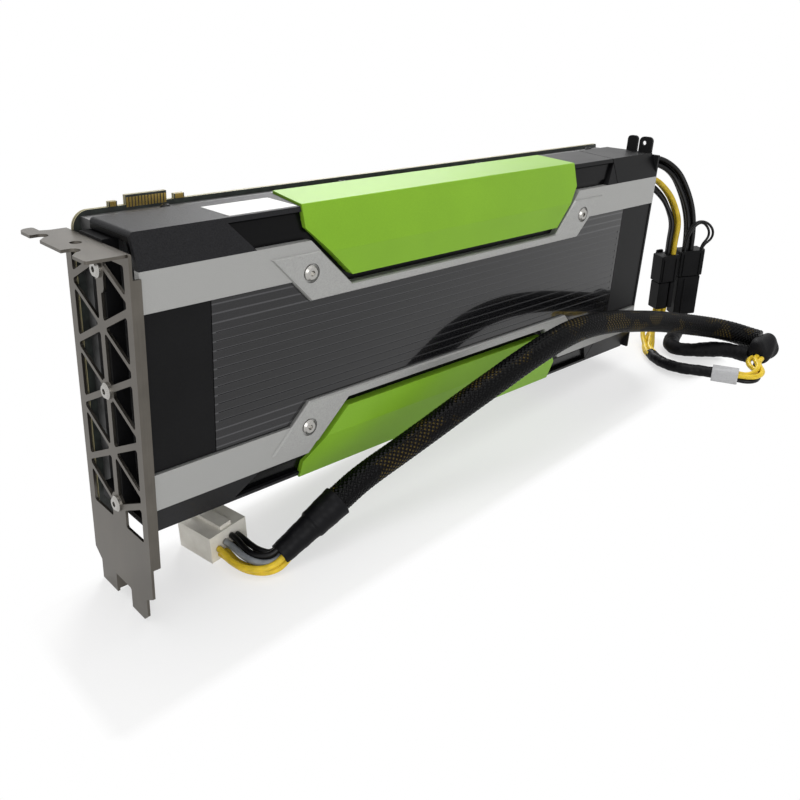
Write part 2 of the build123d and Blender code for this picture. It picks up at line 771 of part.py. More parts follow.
strip_edge = RAIL_INNER - EAR_DROP
rail_outline = [
    (SHELL_START, RAIL_INNER),
    (EAR_START, RAIL_INNER),
    (EAR_START + EAR_DROP, strip_edge),
    (EAR_END - EAR_DROP, strip_edge),
    (EAR_END, RAIL_INNER),
    (LENGTH, RAIL_INNER),
    (LENGTH, RAIL_OUTER),
    (band_end(RAIL_OUTER), RAIL_OUTER),
    (band_end(STRIP_INNER), STRIP_INNER),
    (band_start(STRIP_INNER), STRIP_INNER),
    (band_start(RAIL_OUTER), RAIL_OUTER),
    (SHELL_START, RAIL_OUTER),
]
ridge_run = RIDGE - RAIL_INNER
ear_outline = [
    (EAR_START - ridge_run, RIDGE),
    (EAR_START + EAR_DROP, strip_edge),
    (EAR_END - EAR_DROP, strip_edge),
    (EAR_END + ridge_run, RIDGE),
    (band_end(RIDGE), RIDGE),
    (band_end(STRIP_INNER), STRIP_INNER),
    (band_start(STRIP_INNER), STRIP_INNER),
    (band_start(RIDGE), RIDGE),
]
rail_screw_places = [(x, RAIL_SCREW_Z) for x in RAIL_SCREW_X]
with BuildPart() as upper_rail:
    with BuildSketch(front_plane(FRONT)):
        with BuildLine():
            Polyline(rail_outline, close=True)
        make_face()
    extrude(amount=-RAIL)
    with BuildSketch(front_plane(FRONT)):
        with BuildLine():
            Polyline(ear_outline, close=True)
        make_face()
    extrude(amount=EAR_RAISE, taper=30)
    with BuildSketch(front_plane(FRONT - EAR_RAISE)):
        with Locations(rail_screw_places):
            Circle(RAIL_SCREW_RING)
    extrude(amount=-RAIL_SCREW_SINK, mode=Mode.SUBTRACT)
    with BuildSketch(front_plane(FRONT)):
        with Locations(rail_screw_places):
            Circle(SCREW_SHANK + HOLE_CLEARANCE)
    extrude(amount=-RAIL, mode=Mode.SUBTRACT)

ring_floor = FRONT - EAR_RAISE + RAIL_SCREW_SINK
rail_screws_upper = socket_screw(
    front_plane(ring_floor),
    rail_screw_places,
    SCREW_HEAD,
    SCREW_HEAD_RISE,
    SCREW_SHANK,
    SCREW_LENGTH,
    SOCKET_FLATS,
)

# Flat panels between the rails
panel_front = FRONT + PANEL_RECESS
panel_low = 2 * middle - RAIL_INNER + PANEL_GAP
panel_high = RAIL_INNER - PANEL_GAP


def flat_panel(start, end):
    """Plain panel between the rails, seated on the shell."""
    with BuildPart() as panel:
        with BuildSketch(front_plane(panel_front)):
            with Locations((start, panel_low)):
                Rectangle(end - start, panel_high - panel_low, align=(Align.MIN, Align.MIN))
        extrude(amount=panel_front - shell_front)
        chamfer(panel.faces().sort_by(Axis.Y)[0].edges(), PANEL_GAP)
    return panel.part


name_panel = flat_panel(SHELL_START, NAME_PANEL_END - PANEL_GAP)
rear_panel = flat_panel(LINED_PANEL_END + PANEL_GAP, LENGTH)

lined_half = [
    (NAME_PANEL_END, middle),
    (NAME_PANEL_END, panel_high),
    (EAR_START - PANEL_GAP, panel_high),
    (EAR_START + EAR_DROP - PANEL_GAP, strip_edge - PANEL_GAP),
    (EAR_END - EAR_DROP + PANEL_GAP, strip_edge - PANEL_GAP),
    (EAR_END + PANEL_GAP, panel_high),
    (LINED_PANEL_END, panel_high),
    (LINED_PANEL_END, middle),
]
groove_rows = int((panel_high - middle) / GROOVE_PITCH)
groove_places = [
    ((NAME_PANEL_END + LINED_PANEL_END) / 2, middle + GROOVE_PITCH * i)
    for i in range(1 - groove_rows, groove_rows)
    if abs(GROOVE_PITCH * i) < strip_edge - middle - GROOVE_WIDTH
]
with BuildPart() as lined_panel:
    with BuildSketch(front_plane(panel_front)):
        with BuildLine():
            Polyline(lined_half, close=True)
        make_face()
        mirror(about=Plane.XZ.offset(-middle))
    extrude(amount=panel_front - shell_front)
    with BuildSketch(front_plane(panel_front)):
        with Locations(groove_places):
            Rectangle(LINED_PANEL_END - NAME_PANEL_END - 2 * GROOVE_INSET, GROOVE_WIDTH)
    extrude(amount=-GROOVE_DEPTH, mode=Mode.SUBTRACT)

# Blank paper label on the top
with BuildPart() as sticker:
    with BuildSketch(Plane.XY.offset(SHROUD_TOP)):
        with Locations((STICKER_START, STICKER_FRONT)):
            Rectangle(STICKER_LENGTH, STICKER_WIDTH, align=(Align.MIN, Align.MIN))
    extrude(amount=STICKER)

# Base plate: a cast tray on the board with lips that carry the shroud
base_low = 2 * middle - BASE_TOP
lip_middle = (LEDGE + BOARD_FACE) / 2
edge_screw_x = (30.0, 102.0, 177.0, 256.0)
with BuildPart() as base_plate:
    with BuildSketch(front_plane(BASE_FRONT)):
        with Locations((SHELL_START, base_low)):
            Rectangle(LENGTH - SHELL_START, BASE_TOP - base_low, align=(Align.MIN, Align.MIN))
        with Locations((GPU_X, GPU_Z)):
            Rectangle(GPU_WINDOW, GPU_WINDOW, mode=Mode.SUBTRACT)
        with Locations((VRM_START, VRM_LOW)):
            Rectangle(
                VRM_END - VRM_START, VRM_HIGH - VRM_LOW, align=(Align.MIN, Align.MIN), mode=Mode.SUBTRACT
            )
    extrude(amount=-BASE_PLATE)
    with BuildSketch(front_plane(LEDGE)):
        for height, side in ((base_low, Align.MIN), (BASE_TOP, Align.MAX)):
            with Locations((SHELL_START, height)):
                Rectangle(LENGTH - SHELL_START, LIP, align=(Align.MIN, side))
    extrude(amount=LEDGE - BOARD_FACE)
    with BuildSketch(front_plane(BASE_FRONT)):
        with Locations((SHELL_START, base_low)):
            Rectangle(END_RIB, BASE_TOP - base_low, align=(Align.MIN, Align.MIN))
    extrude(amount=BASE_FRONT - BOARD_FACE)
    with BuildSketch(front_plane(LEDGE)):
        with Locations((LENGTH, SOCKET_LOW - 1.0)):
            Rectangle(SOCKET_LENGTH + 1.0, SOCKET_HEIGHT + 2.0, align=(Align.MAX, Align.MIN))
    extrude(amount=LEDGE - BOARD_FACE, mode=Mode.SUBTRACT)
    for height, depth in ((BASE_TOP, -LIP), (base_low, LIP)):
        with BuildSketch(Plane.XY.offset(height)):
            with Locations([(x, lip_middle) for x in edge_screw_x]):
                Circle(SMALL_SHANK + HOLE_CLEARANCE)
        extrude(amount=depth, mode=Mode.SUBTRACT)

edge_screws_upper = socket_screw(
    Plane.XY.offset(BASE_TOP),
    [(x, lip_middle) for x in edge_screw_x],
    SMALL_HEAD,
    SMALL_HEAD_RISE,
    SMALL_SHANK,
    SMALL_LENGTH,
    SMALL_HEAD,
)

# Heat sink: a base on the base plate, a pedestal through its window, and one stack of fins
die_top = BOARD_FACE - SUBSTRATE_RISE - DIE_RISE
with BuildPart() as heatsink_base:
    with BuildSketch(front_plane(BASE_FRONT - SINK_BASE)):
        with Locations((SINK_START, SINK_LOW)):
            Rectangle(SINK_END - SINK_START, SINK_HIGH - SINK_LOW, align=(Align.MIN, Align.MIN))
    extrude(amount=-SINK_BASE)
    with BuildSketch(front_plane(BASE_FRONT)):
        with Locations((GPU_X, GPU_Z)):
            Rectangle(SINK_PEDESTAL, SINK_PEDESTAL)
    extrude(amount=BASE_FRONT - die_top)

fin_count = int((SINK_HIGH - SINK_LOW) / FIN_PITCH)
fin_places = [
    ((SINK_START + SINK_END) / 2, (SINK_LOW + SINK_HIGH) / 2 + FIN_PITCH * (i - (fin_count - 1) / 2))
    for i in range(fin_count)
]
with BuildPart() as heatsink_fins:
    with BuildSketch(front_plane(FIN_FRONT)):
        with Locations(fin_places):
            Rectangle(SINK_END - SINK_START, FIN)
    extrude(amount=FIN_FRONT - BASE_FRONT + SINK_BASE)

# Processor package: substrate, die and four memory stacks under the pedestal
with BuildPart() as gpu_substrate:
    with BuildSketch(front_plane(BOARD_FACE)):
        with Locations((GPU_X, GPU_Z)):
            Rectangle(SUBSTRATE, SUBSTRATE)
    extrude(amount=SUBSTRATE_RISE)

substrate_face = front_plane(BOARD_FACE - SUBSTRATE_RISE)
with BuildPart() as gpu_die:
    with BuildSketch(substrate_face):
        with Locations((GPU_X, GPU_Z)):
            Rectangle(DIE_WIDTH, DIE_LENGTH)
    extrude(amount=DIE_RISE)

stack_offset = DIE_WIDTH / 2 + STACK_GAP + STACK_WIDTH / 2
with BuildPart() as memory_stacks:
    with BuildSketch(substrate_face):
        with Locations((GPU_X, GPU_Z)):
            with GridLocations(2 * stack_offset, STACK_LENGTH + STACK_GAP, 2, 2):
                Rectangle(STACK_WIDTH, STACK_LENGTH)
    extrude(amount=DIE_RISE)

# Power stage: chokes and capacitors in the window, switches with pads under the plate
vrm_middle_x = (VRM_START + VRM_END) / 2
vrm_middle_z = (VRM_LOW + VRM_HIGH) / 2
with BuildPart() as inductors:
    with BuildSketch(front_plane(BOARD_FACE)):
        with Locations((vrm_middle_x, vrm_middle_z)):
            with GridLocations(2 * INDUCTOR_PITCH, INDUCTOR_PITCH, 2, INDUCTOR_ROWS):
                RectangleRounded(INDUCTOR, INDUCTOR, SHEET)
    extrude(amount=INDUCTOR_RISE)

with BuildPart() as capacitors:
    with BuildSketch(front_plane(BOARD_FACE)):
        with Locations((vrm_middle_x, vrm_middle_z)):
            with GridLocations(INDUCTOR_PITCH, INDUCTOR_PITCH, 1, INDUCTOR_ROWS):
                Circle(CAPACITOR_RADIUS)
    extrude(amount=CAPACITOR_RISE)

mosfet_columns = (VRM_START - MOSFET_OFFSET, VRM_END + MOSFET_OFFSET)
mosfet_places = [
    (x, vrm_middle_z + INDUCTOR_PITCH * (i - (INDUCTOR_ROWS - 1) / 2))
    for x in mosfet_columns
    for i in range(INDUCTOR_ROWS)
]
with BuildPart() as mosfets:
    with BuildSketch(front_plane(BOARD_FACE)):
        with Locations(mosfet_places):
            Rectangle(MOSFET_LENGTH, MOSFET_WIDTH)
    extrude(amount=MOSFET_RISE)

with BuildPart() as thermal_pads:
    with BuildSketch(front_plane(BOARD_FACE - MOSFET_RISE)):
        with Locations(mosfet_places):
            Rectangle(MOSFET_LENGTH, MOSFET_WIDTH)
    extrude(amount=BOARD_FACE - MOSFET_RISE - BASE_FRONT - BASE_PLATE)

# Plate behind the board on standoffs, with a cross spring over the processor
plate_face = board_back + BACKPLATE_GAP
standoffs = [(x, z) for x in STANDOFF_X for z in STANDOFF_Z]
with BuildPart() as backplate:
    with BuildSketch(front_plane(plate_face)) as back_sketch:
        with Locations((BACKPLATE_START, BACKPLATE_LOW)):
            Rectangle(
                BACKPLATE_END - BACKPLATE_START, BACKPLATE_HIGH - BACKPLATE_LOW, align=(Align.MIN, Align.MIN)
            )
        fillet(back_sketch.vertices(), radius=STANDOFF_RADIUS)
        with Locations((GPU_X, GPU_Z)):
            RectangleRounded(BACKPLATE_WINDOW, BACKPLATE_WINDOW, STANDOFF_RADIUS, mode=Mode.SUBTRACT)
    extrude(amount=-BACKPLATE)
    with BuildSketch(front_plane(board_back)):
        with Locations(standoffs):
            Circle(STANDOFF_RADIUS)
    extrude(amount=-BACKPLATE_GAP)

backplate_screws = socket_screw(
    Plane(origin=(0, plate_face + BACKPLATE, 0), x_dir=(-1, 0, 0), z_dir=(0, 1, 0)),
    [(-x, z) for x, z in standoffs],
    SMALL_HEAD,
    SMALL_HEAD_RISE,
    SMALL_SHANK,
    BACKPLATE / 2,
    SMALL_HEAD,
)
with BuildPart() as backplate_drilled:
    add(backplate.part)
    with BuildSketch(front_plane(plate_face + BACKPLATE)):
        with Locations(standoffs):
            Circle(SMALL_SHANK + HOLE_CLEARANCE)
    extrude(amount=BACKPLATE, mode=Mode.SUBTRACT)

spring_turn = 45
with BuildPart() as retention_spring:
    with BuildSketch(front_plane(board_back)):
        with Locations((GPU_X, GPU_Z)):
            for turn in (spring_turn, -spring_turn):
                SlotCenterToCenter(SPRING_SPAN, SPRING_ARM, rotation=turn)
    extrude(amount=-SPRING)

# Power socket on the board, open to the rear, and the rear plate with its two tabs
socket_front = BOARD_FACE - SOCKET_DEPTH_Y
socket_middle_y = BOARD_FACE - SOCKET_DEPTH_Y / 2
socket_middle_z = SOCKET_LOW + SOCKET_HEIGHT / 2
cavity = SOCKET_LENGTH - SOCKET_FLOOR
with BuildPart() as power_socket:
    with BuildSketch(Plane.YZ.offset(LENGTH)):
        with Locations((socket_middle_y, socket_middle_z)):
            Rectangle(SOCKET_DEPTH_Y, SOCKET_HEIGHT)
    extrude(amount=-SOCKET_LENGTH)
    with BuildSketch(Plane.YZ.offset(LENGTH)):
        with Locations((socket_middle_y, socket_middle_z)):
            Rectangle(SOCKET_DEPTH_Y - 2 * SOCKET_WALL, SOCKET_HEIGHT - 2 * SOCKET_WALL)
    extrude(amount=-cavity, mode=Mode.SUBTRACT)

with BuildPart() as rear_bracket:
    with BuildSketch(Plane.YZ.offset(LENGTH)) as frame:
        with Locations((REAR_FRAME_FRONT, middle)):
            Rectangle(
                REAR_FRAME_BACK - REAR_FRAME_FRONT, BASE_TOP - base_low, align=(Align.MIN, Align.CENTER)
            )
        with Locations((REAR_FRAME_FRONT + REAR_FRAME_BAR, middle)):
            Rectangle(
                BRACKET_WIDTH,
                BASE_TOP - base_low - 2 * REAR_FRAME_BAR,
                align=(Align.MIN, Align.CENTER),
                mode=Mode.SUBTRACT,
            )
        for start, end in (TAB_NEAR, TAB_FAR):
            with BuildSketch(Plane.YZ.offset(LENGTH)) as tab:
                with Locations((start, BASE_TOP - REAR_FRAME_BAR / 2)):
                    Rectangle(end - start, TAB_TOP - BASE_TOP + REAR_FRAME_BAR / 2, align=(Align.MIN, Align.MIN))
                fillet(tab.vertices().group_by(Axis.Y)[-1], radius=(end - start) / 3)
        with Locations((TAB_HOLE_Y, TAB_HOLE_Z)):
            Circle(TAB_HOLE, mode=Mode.SUBTRACT)
    extrude(amount=REAR_PLATE)

# Power plug in the socket of the card
nose_y = SOCKET_DEPTH_Y - 2 * SOCKET_WALL - 2 * PLUG_GAP
nose_z = SOCKET_HEIGHT - 2 * SOCKET_WALL - 2 * PLUG_GAP
with BuildPart() as power_plug:
    with BuildSketch(Plane.YZ.offset(LENGTH)):
        with Locations((socket_middle_y, socket_middle_z)):
            Rectangle(nose_y, nose_z)
    extrude(amount=-cavity + PLUG_GAP)
    with BuildSketch(Plane.YZ.offset(LENGTH)):
        with Locations((socket_middle_y, socket_middle_z)):
            Rectangle(SOCKET_DEPTH_Y, SOCKET_HEIGHT)
    extrude(amount=PLUG_BODY)
    with BuildSketch(Plane.YZ.offset(LENGTH + PLUG_BODY)):
        with Locations((socket_front, socket_middle_z)):
            Rectangle(LATCH_DEPTH, LATCH_WIDTH, align=(Align.MAX, Align.CENTER))
    extrude(amount=-PLUG_BODY)

# Lower halves of the shroud's trim, mirrored about the middle of the card
mirrored = {
    "front_cap_lower": front_cap_upper.part,
    "rear_trim_lower": rear_trim_upper.part,
    "rear_cap_lower": rear_cap_upper.part,
    "lower_accent": upper_accent.part,
    "lower_rail": upper_rail.part,
}
lower_pieces = {name: mirror(piece, about=mirror_plane) for name, piece in mirrored.items()}
with BuildPart() as rail_screws:
    add(rail_screws_upper)
    mirror(about=mirror_plane)
with BuildPart() as edge_screws:
    add(edge_screws_upper)
    mirror(about=mirror_plane)

# The card stands on the tongue tips and the board's rear lower corner, so it leans a little
lean_angle = math.radians(lean)
tip_rise = SHEET * math.sin(lean_angle)
stand = Location((0, 0, tip_rise), (0, lean, 0))
plug_direction = Vector(math.cos(lean_angle), 0, -math.sin(lean_angle))


def standing(x, y, z):
    """A point in the card's axes as a point in standing axes."""
    return Vector(
        x * math.cos(lean_angle) + z * math.sin(lean_angle),
        y,
        z * math.cos(lean_angle) - x * math.sin(lean_angle) + tip_rise,
    )


def cable(name, points, diameter):
    """Tube along straight runs joined by arcs as large as the runs allow."""
    route = [Vector(*point) for point in points]
    radii = []
    for before, corner, after in zip(route, route[1:], route[2:]):
        run_in = corner - before
        run_out = after - corner
        turn = math.radians(run_in.get_angle(run_out))
        radii.append(ARC_SHARE * min(run_in.length, run_out.length) / math.tan(turn / 2))
    with BuildPart() as tube:
        with BuildLine() as path:
            if len(route) > 2:
                FilletPolyline(*route, radius=radii)
            else:
                Line(*route)
        with BuildSketch(Plane(origin=route[0], z_dir=route[1] - route[0])):
            Circle(diameter / 2)
        sweep()
    length = sum(edge.length for edge in path.edges())
    share = tube.part.volume / (math.pi * diameter**2 / 4 * length)
    print(name, "length", round(length, 1), "radii", [round(r, 1) for r in radii], "share", round(share, 4))
    return tube.part


# Housing pair: two sockets above and two split plugs below, side by side
pair_plane = Plane(
    origin=(HOUSING_X, HOUSING_Y, 0),
    x_dir=(math.cos(math.radians(HOUSING_YAW)), math.sin(math.radians(HOUSING_YAW)), 0),
    z_dir=(0, 0, 1),
)
half_pitch = (HOUSING_WIDTH + HOUSING_GAP) / 2
pair_places = [(-half_pitch, 0), (half_pitch, 0)]
inner_width = HOUSING_WIDTH - 2 * HOUSING_WALL
inner_thickness = HOUSING_THICKNESS - 2 * HOUSING_WALL
with BuildPart() as plug_housings:
    with BuildSketch(pair_plane.offset(HOUSING_BOTTOM)):
        with Locations(pair_places):
            Rectangle(HOUSING_WIDTH - 2 * HOUSING_GAP, HOUSING_THICKNESS - HOUSING_GAP)
            with Locations((SPLIT_PLACE - HOUSING_WIDTH / 2, 0)):
                Rectangle(SPLIT, HOUSING_THICKNESS, mode=Mode.SUBTRACT)
    extrude(amount=HOUSING_JOINT - HOUSING_BOTTOM)
    with BuildSketch(pair_plane.offset(HOUSING_JOINT)):
        with Locations(pair_places):
            Rectangle(inner_width, inner_thickness)
    extrude(amount=-HOUSING_NOSE, mode=Mode.SUBTRACT)

with BuildPart() as socket_housings:
    with BuildSketch(pair_plane.offset(HOUSING_JOINT)):
        with Locations(pair_places):
            Rectangle(HOUSING_WIDTH, HOUSING_THICKNESS)
        for side in (-1, 1):
            with Locations((side * (2 * half_pitch + LATCH_DEPTH / 2 - HOUSING_GAP / 2), 0)):
                Rectangle(LATCH_DEPTH, LATCH_WIDTH)
    extrude(amount=HOUSING_TOP - HOUSING_JOINT)
    with BuildSketch(pair_plane.offset(HOUSING_JOINT)):
        with Locations(pair_places):
            Rectangle(inner_width - 2 * PLUG_GAP, inner_thickness - 2 * PLUG_GAP)
    extrude(amount=-HOUSING_NOSE + PLUG_GAP)


def in_pair(along, height):
    """A point in standing axes over the middle line of the housing pair."""
    return pair_plane.from_local_coords(Vector(along, 0, height))


# Wires from the card's plug to the upper housings, and a loop of thin wires on the outer one
plug_end = LENGTH + PLUG_BODY
pigtail_a_start = standing(plug_end, socket_middle_y, socket_middle_z - SOCKET_HEIGHT / 5)
pigtail_b_start = standing(plug_end, socket_middle_y, socket_middle_z + SOCKET_HEIGHT / 5)
pigtail_a_end = in_pair(-half_pitch, HOUSING_TOP)
pigtail_b_end = in_pair(half_pitch - WIRE, HOUSING_TOP)
pigtail_a = cable(
    "pigtail_a",
    [
        pigtail_a_start,
        pigtail_a_start + plug_direction * 7,
        (299.0, 24.5, 75.0),
        (303.5, 17.0, 68.0),
        (304.0, 11.0, 59.0),
        pigtail_a_end + Vector(0, 0, 5),
        pigtail_a_end,
    ],
    PIGTAIL,
)
pigtail_b = cable(
    "pigtail_b",
    [
        pigtail_b_start,
        pigtail_b_start + plug_direction * 8,
        (303.0, 25.0, 84.0),
        (313.0, 17.0, 78.0),
        (319.0, 8.5, 68.0),
        pigtail_b_end + Vector(0, 0, 8),
        pigtail_b_end,
    ],
    PIGTAIL,
)
sense_start = in_pair(half_pitch + HOUSING_WIDTH / 4, HOUSING_TOP)
sense_end = in_pair(half_pitch + HOUSING_WIDTH / 4 + WIRE, HOUSING_TOP)
sense_wires = cable(
    "sense_wires",
    [
        sense_start,
        sense_start + Vector(0, 0, 4),
        sense_start + Vector(2, -1.5, 10),
        sense_start + Vector(6, -3.5, 15),
        sense_start + Vector(10, -4, 16.5),
        sense_start + Vector(12.2, -3.6, 13),
        sense_start + Vector(9.5, -2.4, 8.5),
        sense_end + Vector(2.6, -0.8, 4.8),
        sense_end + Vector(0, 0, 2),
        sense_end,
    ],
    SENSE_WIRE,
)

# Branches from the lower housings to the taped end of the sleeve
branch_a_start = in_pair(-half_pitch, HOUSING_BOTTOM)
branch_b_start = in_pair(half_pitch, HOUSING_BOTTOM)
tape_face_y = TAPE_Y + TAPE_WIDTH / 2
tape_face_x = TAPE_X - TAPE_LENGTH / 2
floor_a = LABEL / 2
branch_a_wires = cable(
    "branch_a_wires",
    [
        branch_a_start,
        branch_a_start + Vector(0, 0, -3.4),
        (299.2, 7.6, 9.0),
        (293.2, 5.2, 5.6),
        (284.1, -0.3, floor_a),
        (281.0, -4.2, floor_a),
    ],
    BRANCH_A,
)
branch_a_tube = cable(
    "branch_a_tube",
    [
        (281.0, -4.2, floor_a),
        (277.2, -8.98, floor_a),
        (274.6, -16.0, floor_a),
        (275.4, -24.0, floor_a),
        (278.55, -29.7, floor_a),
        (280.7, -35.2, floor_a),
    ],
    BRANCH_A,
)
cable_label = cable("cable_label", [(280.7, -35.2, floor_a), (284.8, -45.7, floor_a)], LABEL)
branch_a_tail = cable(
    "branch_a_tail",
    [
        (284.8, -45.7, floor_a),
        (286.2, -49.28, floor_a),
        (289.8, -51.8, 3.8),
        (295.2, -51.0, 4.4),
        (299.0, -47.0, 4.8),
        (302.5, -44.8, 5.0),
        (tape_face_x, -44.8, 5.0),
    ],
    BRANCH_A,
)
branch_b = cable(
    "branch_b",
    [
        branch_b_start,
        branch_b_start + Vector(0, 0, -4.5),
        (315.0, 0.5, 7.0),
        (305.5, -2.6, 4.6),
        (296.0, -5.6, 4.3),
        (292.3, -11.2, 4.2),
        (296.4, -17.6, 4.2),
        (302.8, -22.7, 4.2),
        (307.6, -27.8, 4.2),
        (309.0, -33.8, 4.2),
        (309.0, tape_face_y, 4.2),
    ],
    BRANCH_B,
)
with BuildPart() as sleeve_end_tape:
    with BuildSketch(Plane.XY.offset(TAPE_LOW)):
        with Locations((TAPE_X, TAPE_Y)):
            RectangleRounded(TAPE_LENGTH, TAPE_WIDTH, TAPE_ROUND / 3)
    extrude(amount=TAPE_HEIGHT)
    outer_face = sleeve_end_tape.faces().sort_by(Axis.Y)[0]
    fillet(outer_face.edges().filter_by(Axis.X), radius=TAPE_ROUND)

# Braided sleeve along the front of the card, with shrink tube and loose wires to the connector
shrink_start = Vector(49.6, -3.4, 6.2)
shrink_end = Vector(73.4, -5.0, 16.4)
shrink_direction = (shrink_end - shrink_start).normalized()
sleeve = cable(
    "sleeve",
    [
        shrink_end,
        shrink_end + shrink_direction * 12,
        (106.0, -5.7, 24.6),
        (130.0, -5.5, 28.0),
        (154.0, -5.6, 32.2),
        (178.0, -5.6, 36.8),
        (207.0, -5.4, 38.6),
        (235.0, -6.0, 35.4),
        (258.0, -8.0, 28.6),
        (281.0, -12.0, 22.4),
        (301.0, -20.0, 16.4),
        (313.5, -28.0, 11.6),
        (318.0, -34.4, 9.2),
        (318.0, tape_face_y, 9.2),
    ],
    SLEEVE,
)
shrink_tube = cable("shrink_tube", [shrink_start, shrink_end], SHRINK)
# White plug of the cable: a row of cavities in its mating face and a latch on its top
connector_plane = Plane(
    origin=(CONNECTOR_X, CONNECTOR_Y, CONNECTOR_HEIGHT / 2),
    x_dir=(math.cos(math.radians(CONNECTOR_YAW)), math.sin(math.radians(CONNECTOR_YAW)), 0),
    z_dir=(math.sin(math.radians(CONNECTOR_YAW)), -math.cos(math.radians(CONNECTOR_YAW)), 0),
)
connector_exit = connector_plane.origin - Vector(0, 0, CONNECTOR_SAG)
connector_wires = cable(
    "connector_wires",
    [
        connector_exit,
        connector_exit + connector_plane.z_dir * 3,
        (39.3, 7.4, 4.6),
        (39.8, 1.9, 4.2),
        shrink_start - shrink_direction * 6,
        shrink_start,
    ],
    LOOM,
)
pin_pitch = (CONNECTOR_WIDTH - CONNECTOR_WALL) / 4
with BuildPart() as board_connector:
    with BuildSketch(connector_plane):
        Rectangle(CONNECTOR_WIDTH, CONNECTOR_HEIGHT)
    extrude(amount=-CONNECTOR_LENGTH)
    with BuildSketch(connector_plane.offset(-CONNECTOR_LENGTH)):
        with GridLocations(pin_pitch, pin_pitch, 4, 2):
            Rectangle(pin_pitch - CONNECTOR_WALL, pin_pitch - CONNECTOR_WALL)
    extrude(amount=CONNECTOR_CAVITY, mode=Mode.SUBTRACT)
    with BuildSketch(connector_plane.offset(-CONNECTOR_WALL)):
        with Locations((0, CONNECTOR_HEIGHT / 2)):
            Rectangle(LATCH_WIDTH, LATCH_DEPTH, align=(Align.CENTER, Align.MIN))
    extrude(amount=CONNECTOR_WALL - CONNECTOR_LENGTH + CONNECTOR_WALL)

card_pieces = {
    "io_bracket": io_bracket.part,
    "bracket_screws": bracket_screws,
    "bracket_post": bracket_post.part,
    "board": board.part,
    "edge_contacts": edge_contacts.part,
    "bridge_contacts": bridge_contacts.part,
    "shroud_shell": shroud_shell.part,
    "front_cap_upper": front_cap_upper.part,
    "rear_trim_upper": rear_trim_upper.part,
    "rear_cap_upper": rear_cap_upper.part,
    "upper_accent": upper_accent.part,
    "upper_rail": upper_rail.part,
    **lower_pieces,
    "rail_screws": rail_screws.part,
    "edge_screws": edge_screws.part,
    "name_panel": name_panel,
    "lined_panel": lined_panel.part,
    "rear_panel": rear_panel,
    "sticker": sticker.part,
    "base_plate": base_plate.part,
    "heatsink_base": heatsink_base.part,
    "heatsink_fins": heatsink_fins.part,
    "gpu_substrate": gpu_substrate.part,
    "gpu_die": gpu_die.part,
    "memory_stacks": memory_stacks.part,
    "inductors": inductors.part,
    "capacitors": capacitors.part,
    "mosfets": mosfets.part,
    "thermal_pads": thermal_pads.part,
    "backplate": backplate_drilled.part,
    "backplate_screws": backplate_screws,
    "retention_spring": retention_spring.part,
    "power_socket": power_socket.part,
    "rear_bracket": rear_bracket.part,
}
cable_pieces = {
    "power_plug": power_plug.part.moved(stand),
    "pigtail_a": pigtail_a,
    "pigtail_b": pigtail_b,
    "sense_wires": sense_wires,
    "socket_housings": socket_housings.part,
    "plug_housings": plug_housings.part,
    "branch_a_wires": branch_a_wires,
    "branch_a_tube": branch_a_tube,
    "cable_label": cable_label,
    "branch_a_tail": branch_a_tail,
    "branch_b": branch_b,
    "sleeve_end_tape": sleeve_end_tape.part,
    "sleeve": sleeve,
    "shrink_tube": shrink_tube,
    "connector_wires": connector_wires,
    "board_connector": board_connector.part,
}

# The part's origin is under the middle of the standing card, on the floor
standing_pieces = {name: piece.moved(stand) for name, piece in card_pieces.items()}
boxes = [piece.bounding_box() for piece in standing_pieces.values()]
origin = Vector(
    (min(box.min.X for box in boxes) + max(box.max.X for box in boxes)) / 2,
    (min(box.min.Y for box in boxes) + max(box.max.Y for box in boxes)) / 2,
    min(box.min.Z for box in boxes),
)
print("lean", round(lean, 4), "origin", [round(value, 4) for value in origin])
for name, piece in (standing_pieces | cable_pieces).items():
    finished = piece.moved(Location(-origin))
    finished.label = name
    export_step(finished, f"parts/{name}.step")
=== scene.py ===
import json
import math

import bpy
import numpy as np
from mathutils import Matrix, Vector


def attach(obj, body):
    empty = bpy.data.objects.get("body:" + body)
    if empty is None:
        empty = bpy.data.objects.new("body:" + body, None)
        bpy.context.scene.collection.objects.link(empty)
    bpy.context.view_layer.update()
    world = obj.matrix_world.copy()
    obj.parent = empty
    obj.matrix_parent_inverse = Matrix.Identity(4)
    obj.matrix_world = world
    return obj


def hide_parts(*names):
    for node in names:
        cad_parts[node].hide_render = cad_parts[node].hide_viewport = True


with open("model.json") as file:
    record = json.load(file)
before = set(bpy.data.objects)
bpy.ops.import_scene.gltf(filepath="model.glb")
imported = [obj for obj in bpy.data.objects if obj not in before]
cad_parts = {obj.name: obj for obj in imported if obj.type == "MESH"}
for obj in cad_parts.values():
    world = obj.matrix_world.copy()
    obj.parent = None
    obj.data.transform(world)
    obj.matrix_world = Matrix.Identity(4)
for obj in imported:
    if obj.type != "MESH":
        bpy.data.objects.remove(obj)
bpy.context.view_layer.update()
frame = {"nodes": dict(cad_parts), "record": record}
nodes = frame["nodes"]

bl_info = {
    "name": "Passive Accelerator Card",
    "version": (1, 0, 0),
    "blender": (4, 5, 0),
    "location": "View3D > Sidebar > Card",
    "description": "Finishes, cables and studio for a passive accelerator card",
    "category": "Object",
}

# The card stands on its slot tongues, so it leans by this angle about the Y axis
TONGUES = next(m for m in frame["record"]["mounts"] if m["name"] == "slot_tongues")
LEAN = math.atan2(-TONGUES["axis"][0], -TONGUES["axis"][2])
BRACKET_WIDTH = 0.03874
BRACKET_SHEET = 0.0009
FOOT = np.array(TONGUES["pos_m"]) - np.array([0.0, BRACKET_WIDTH / 2, BRACKET_SHEET * math.sin(LEAN)])


def at(points):
    """Points in millimetres from the card's standing corner as metres in the shared frame."""
    return np.asarray(points, dtype=float) / 1000 + FOOT


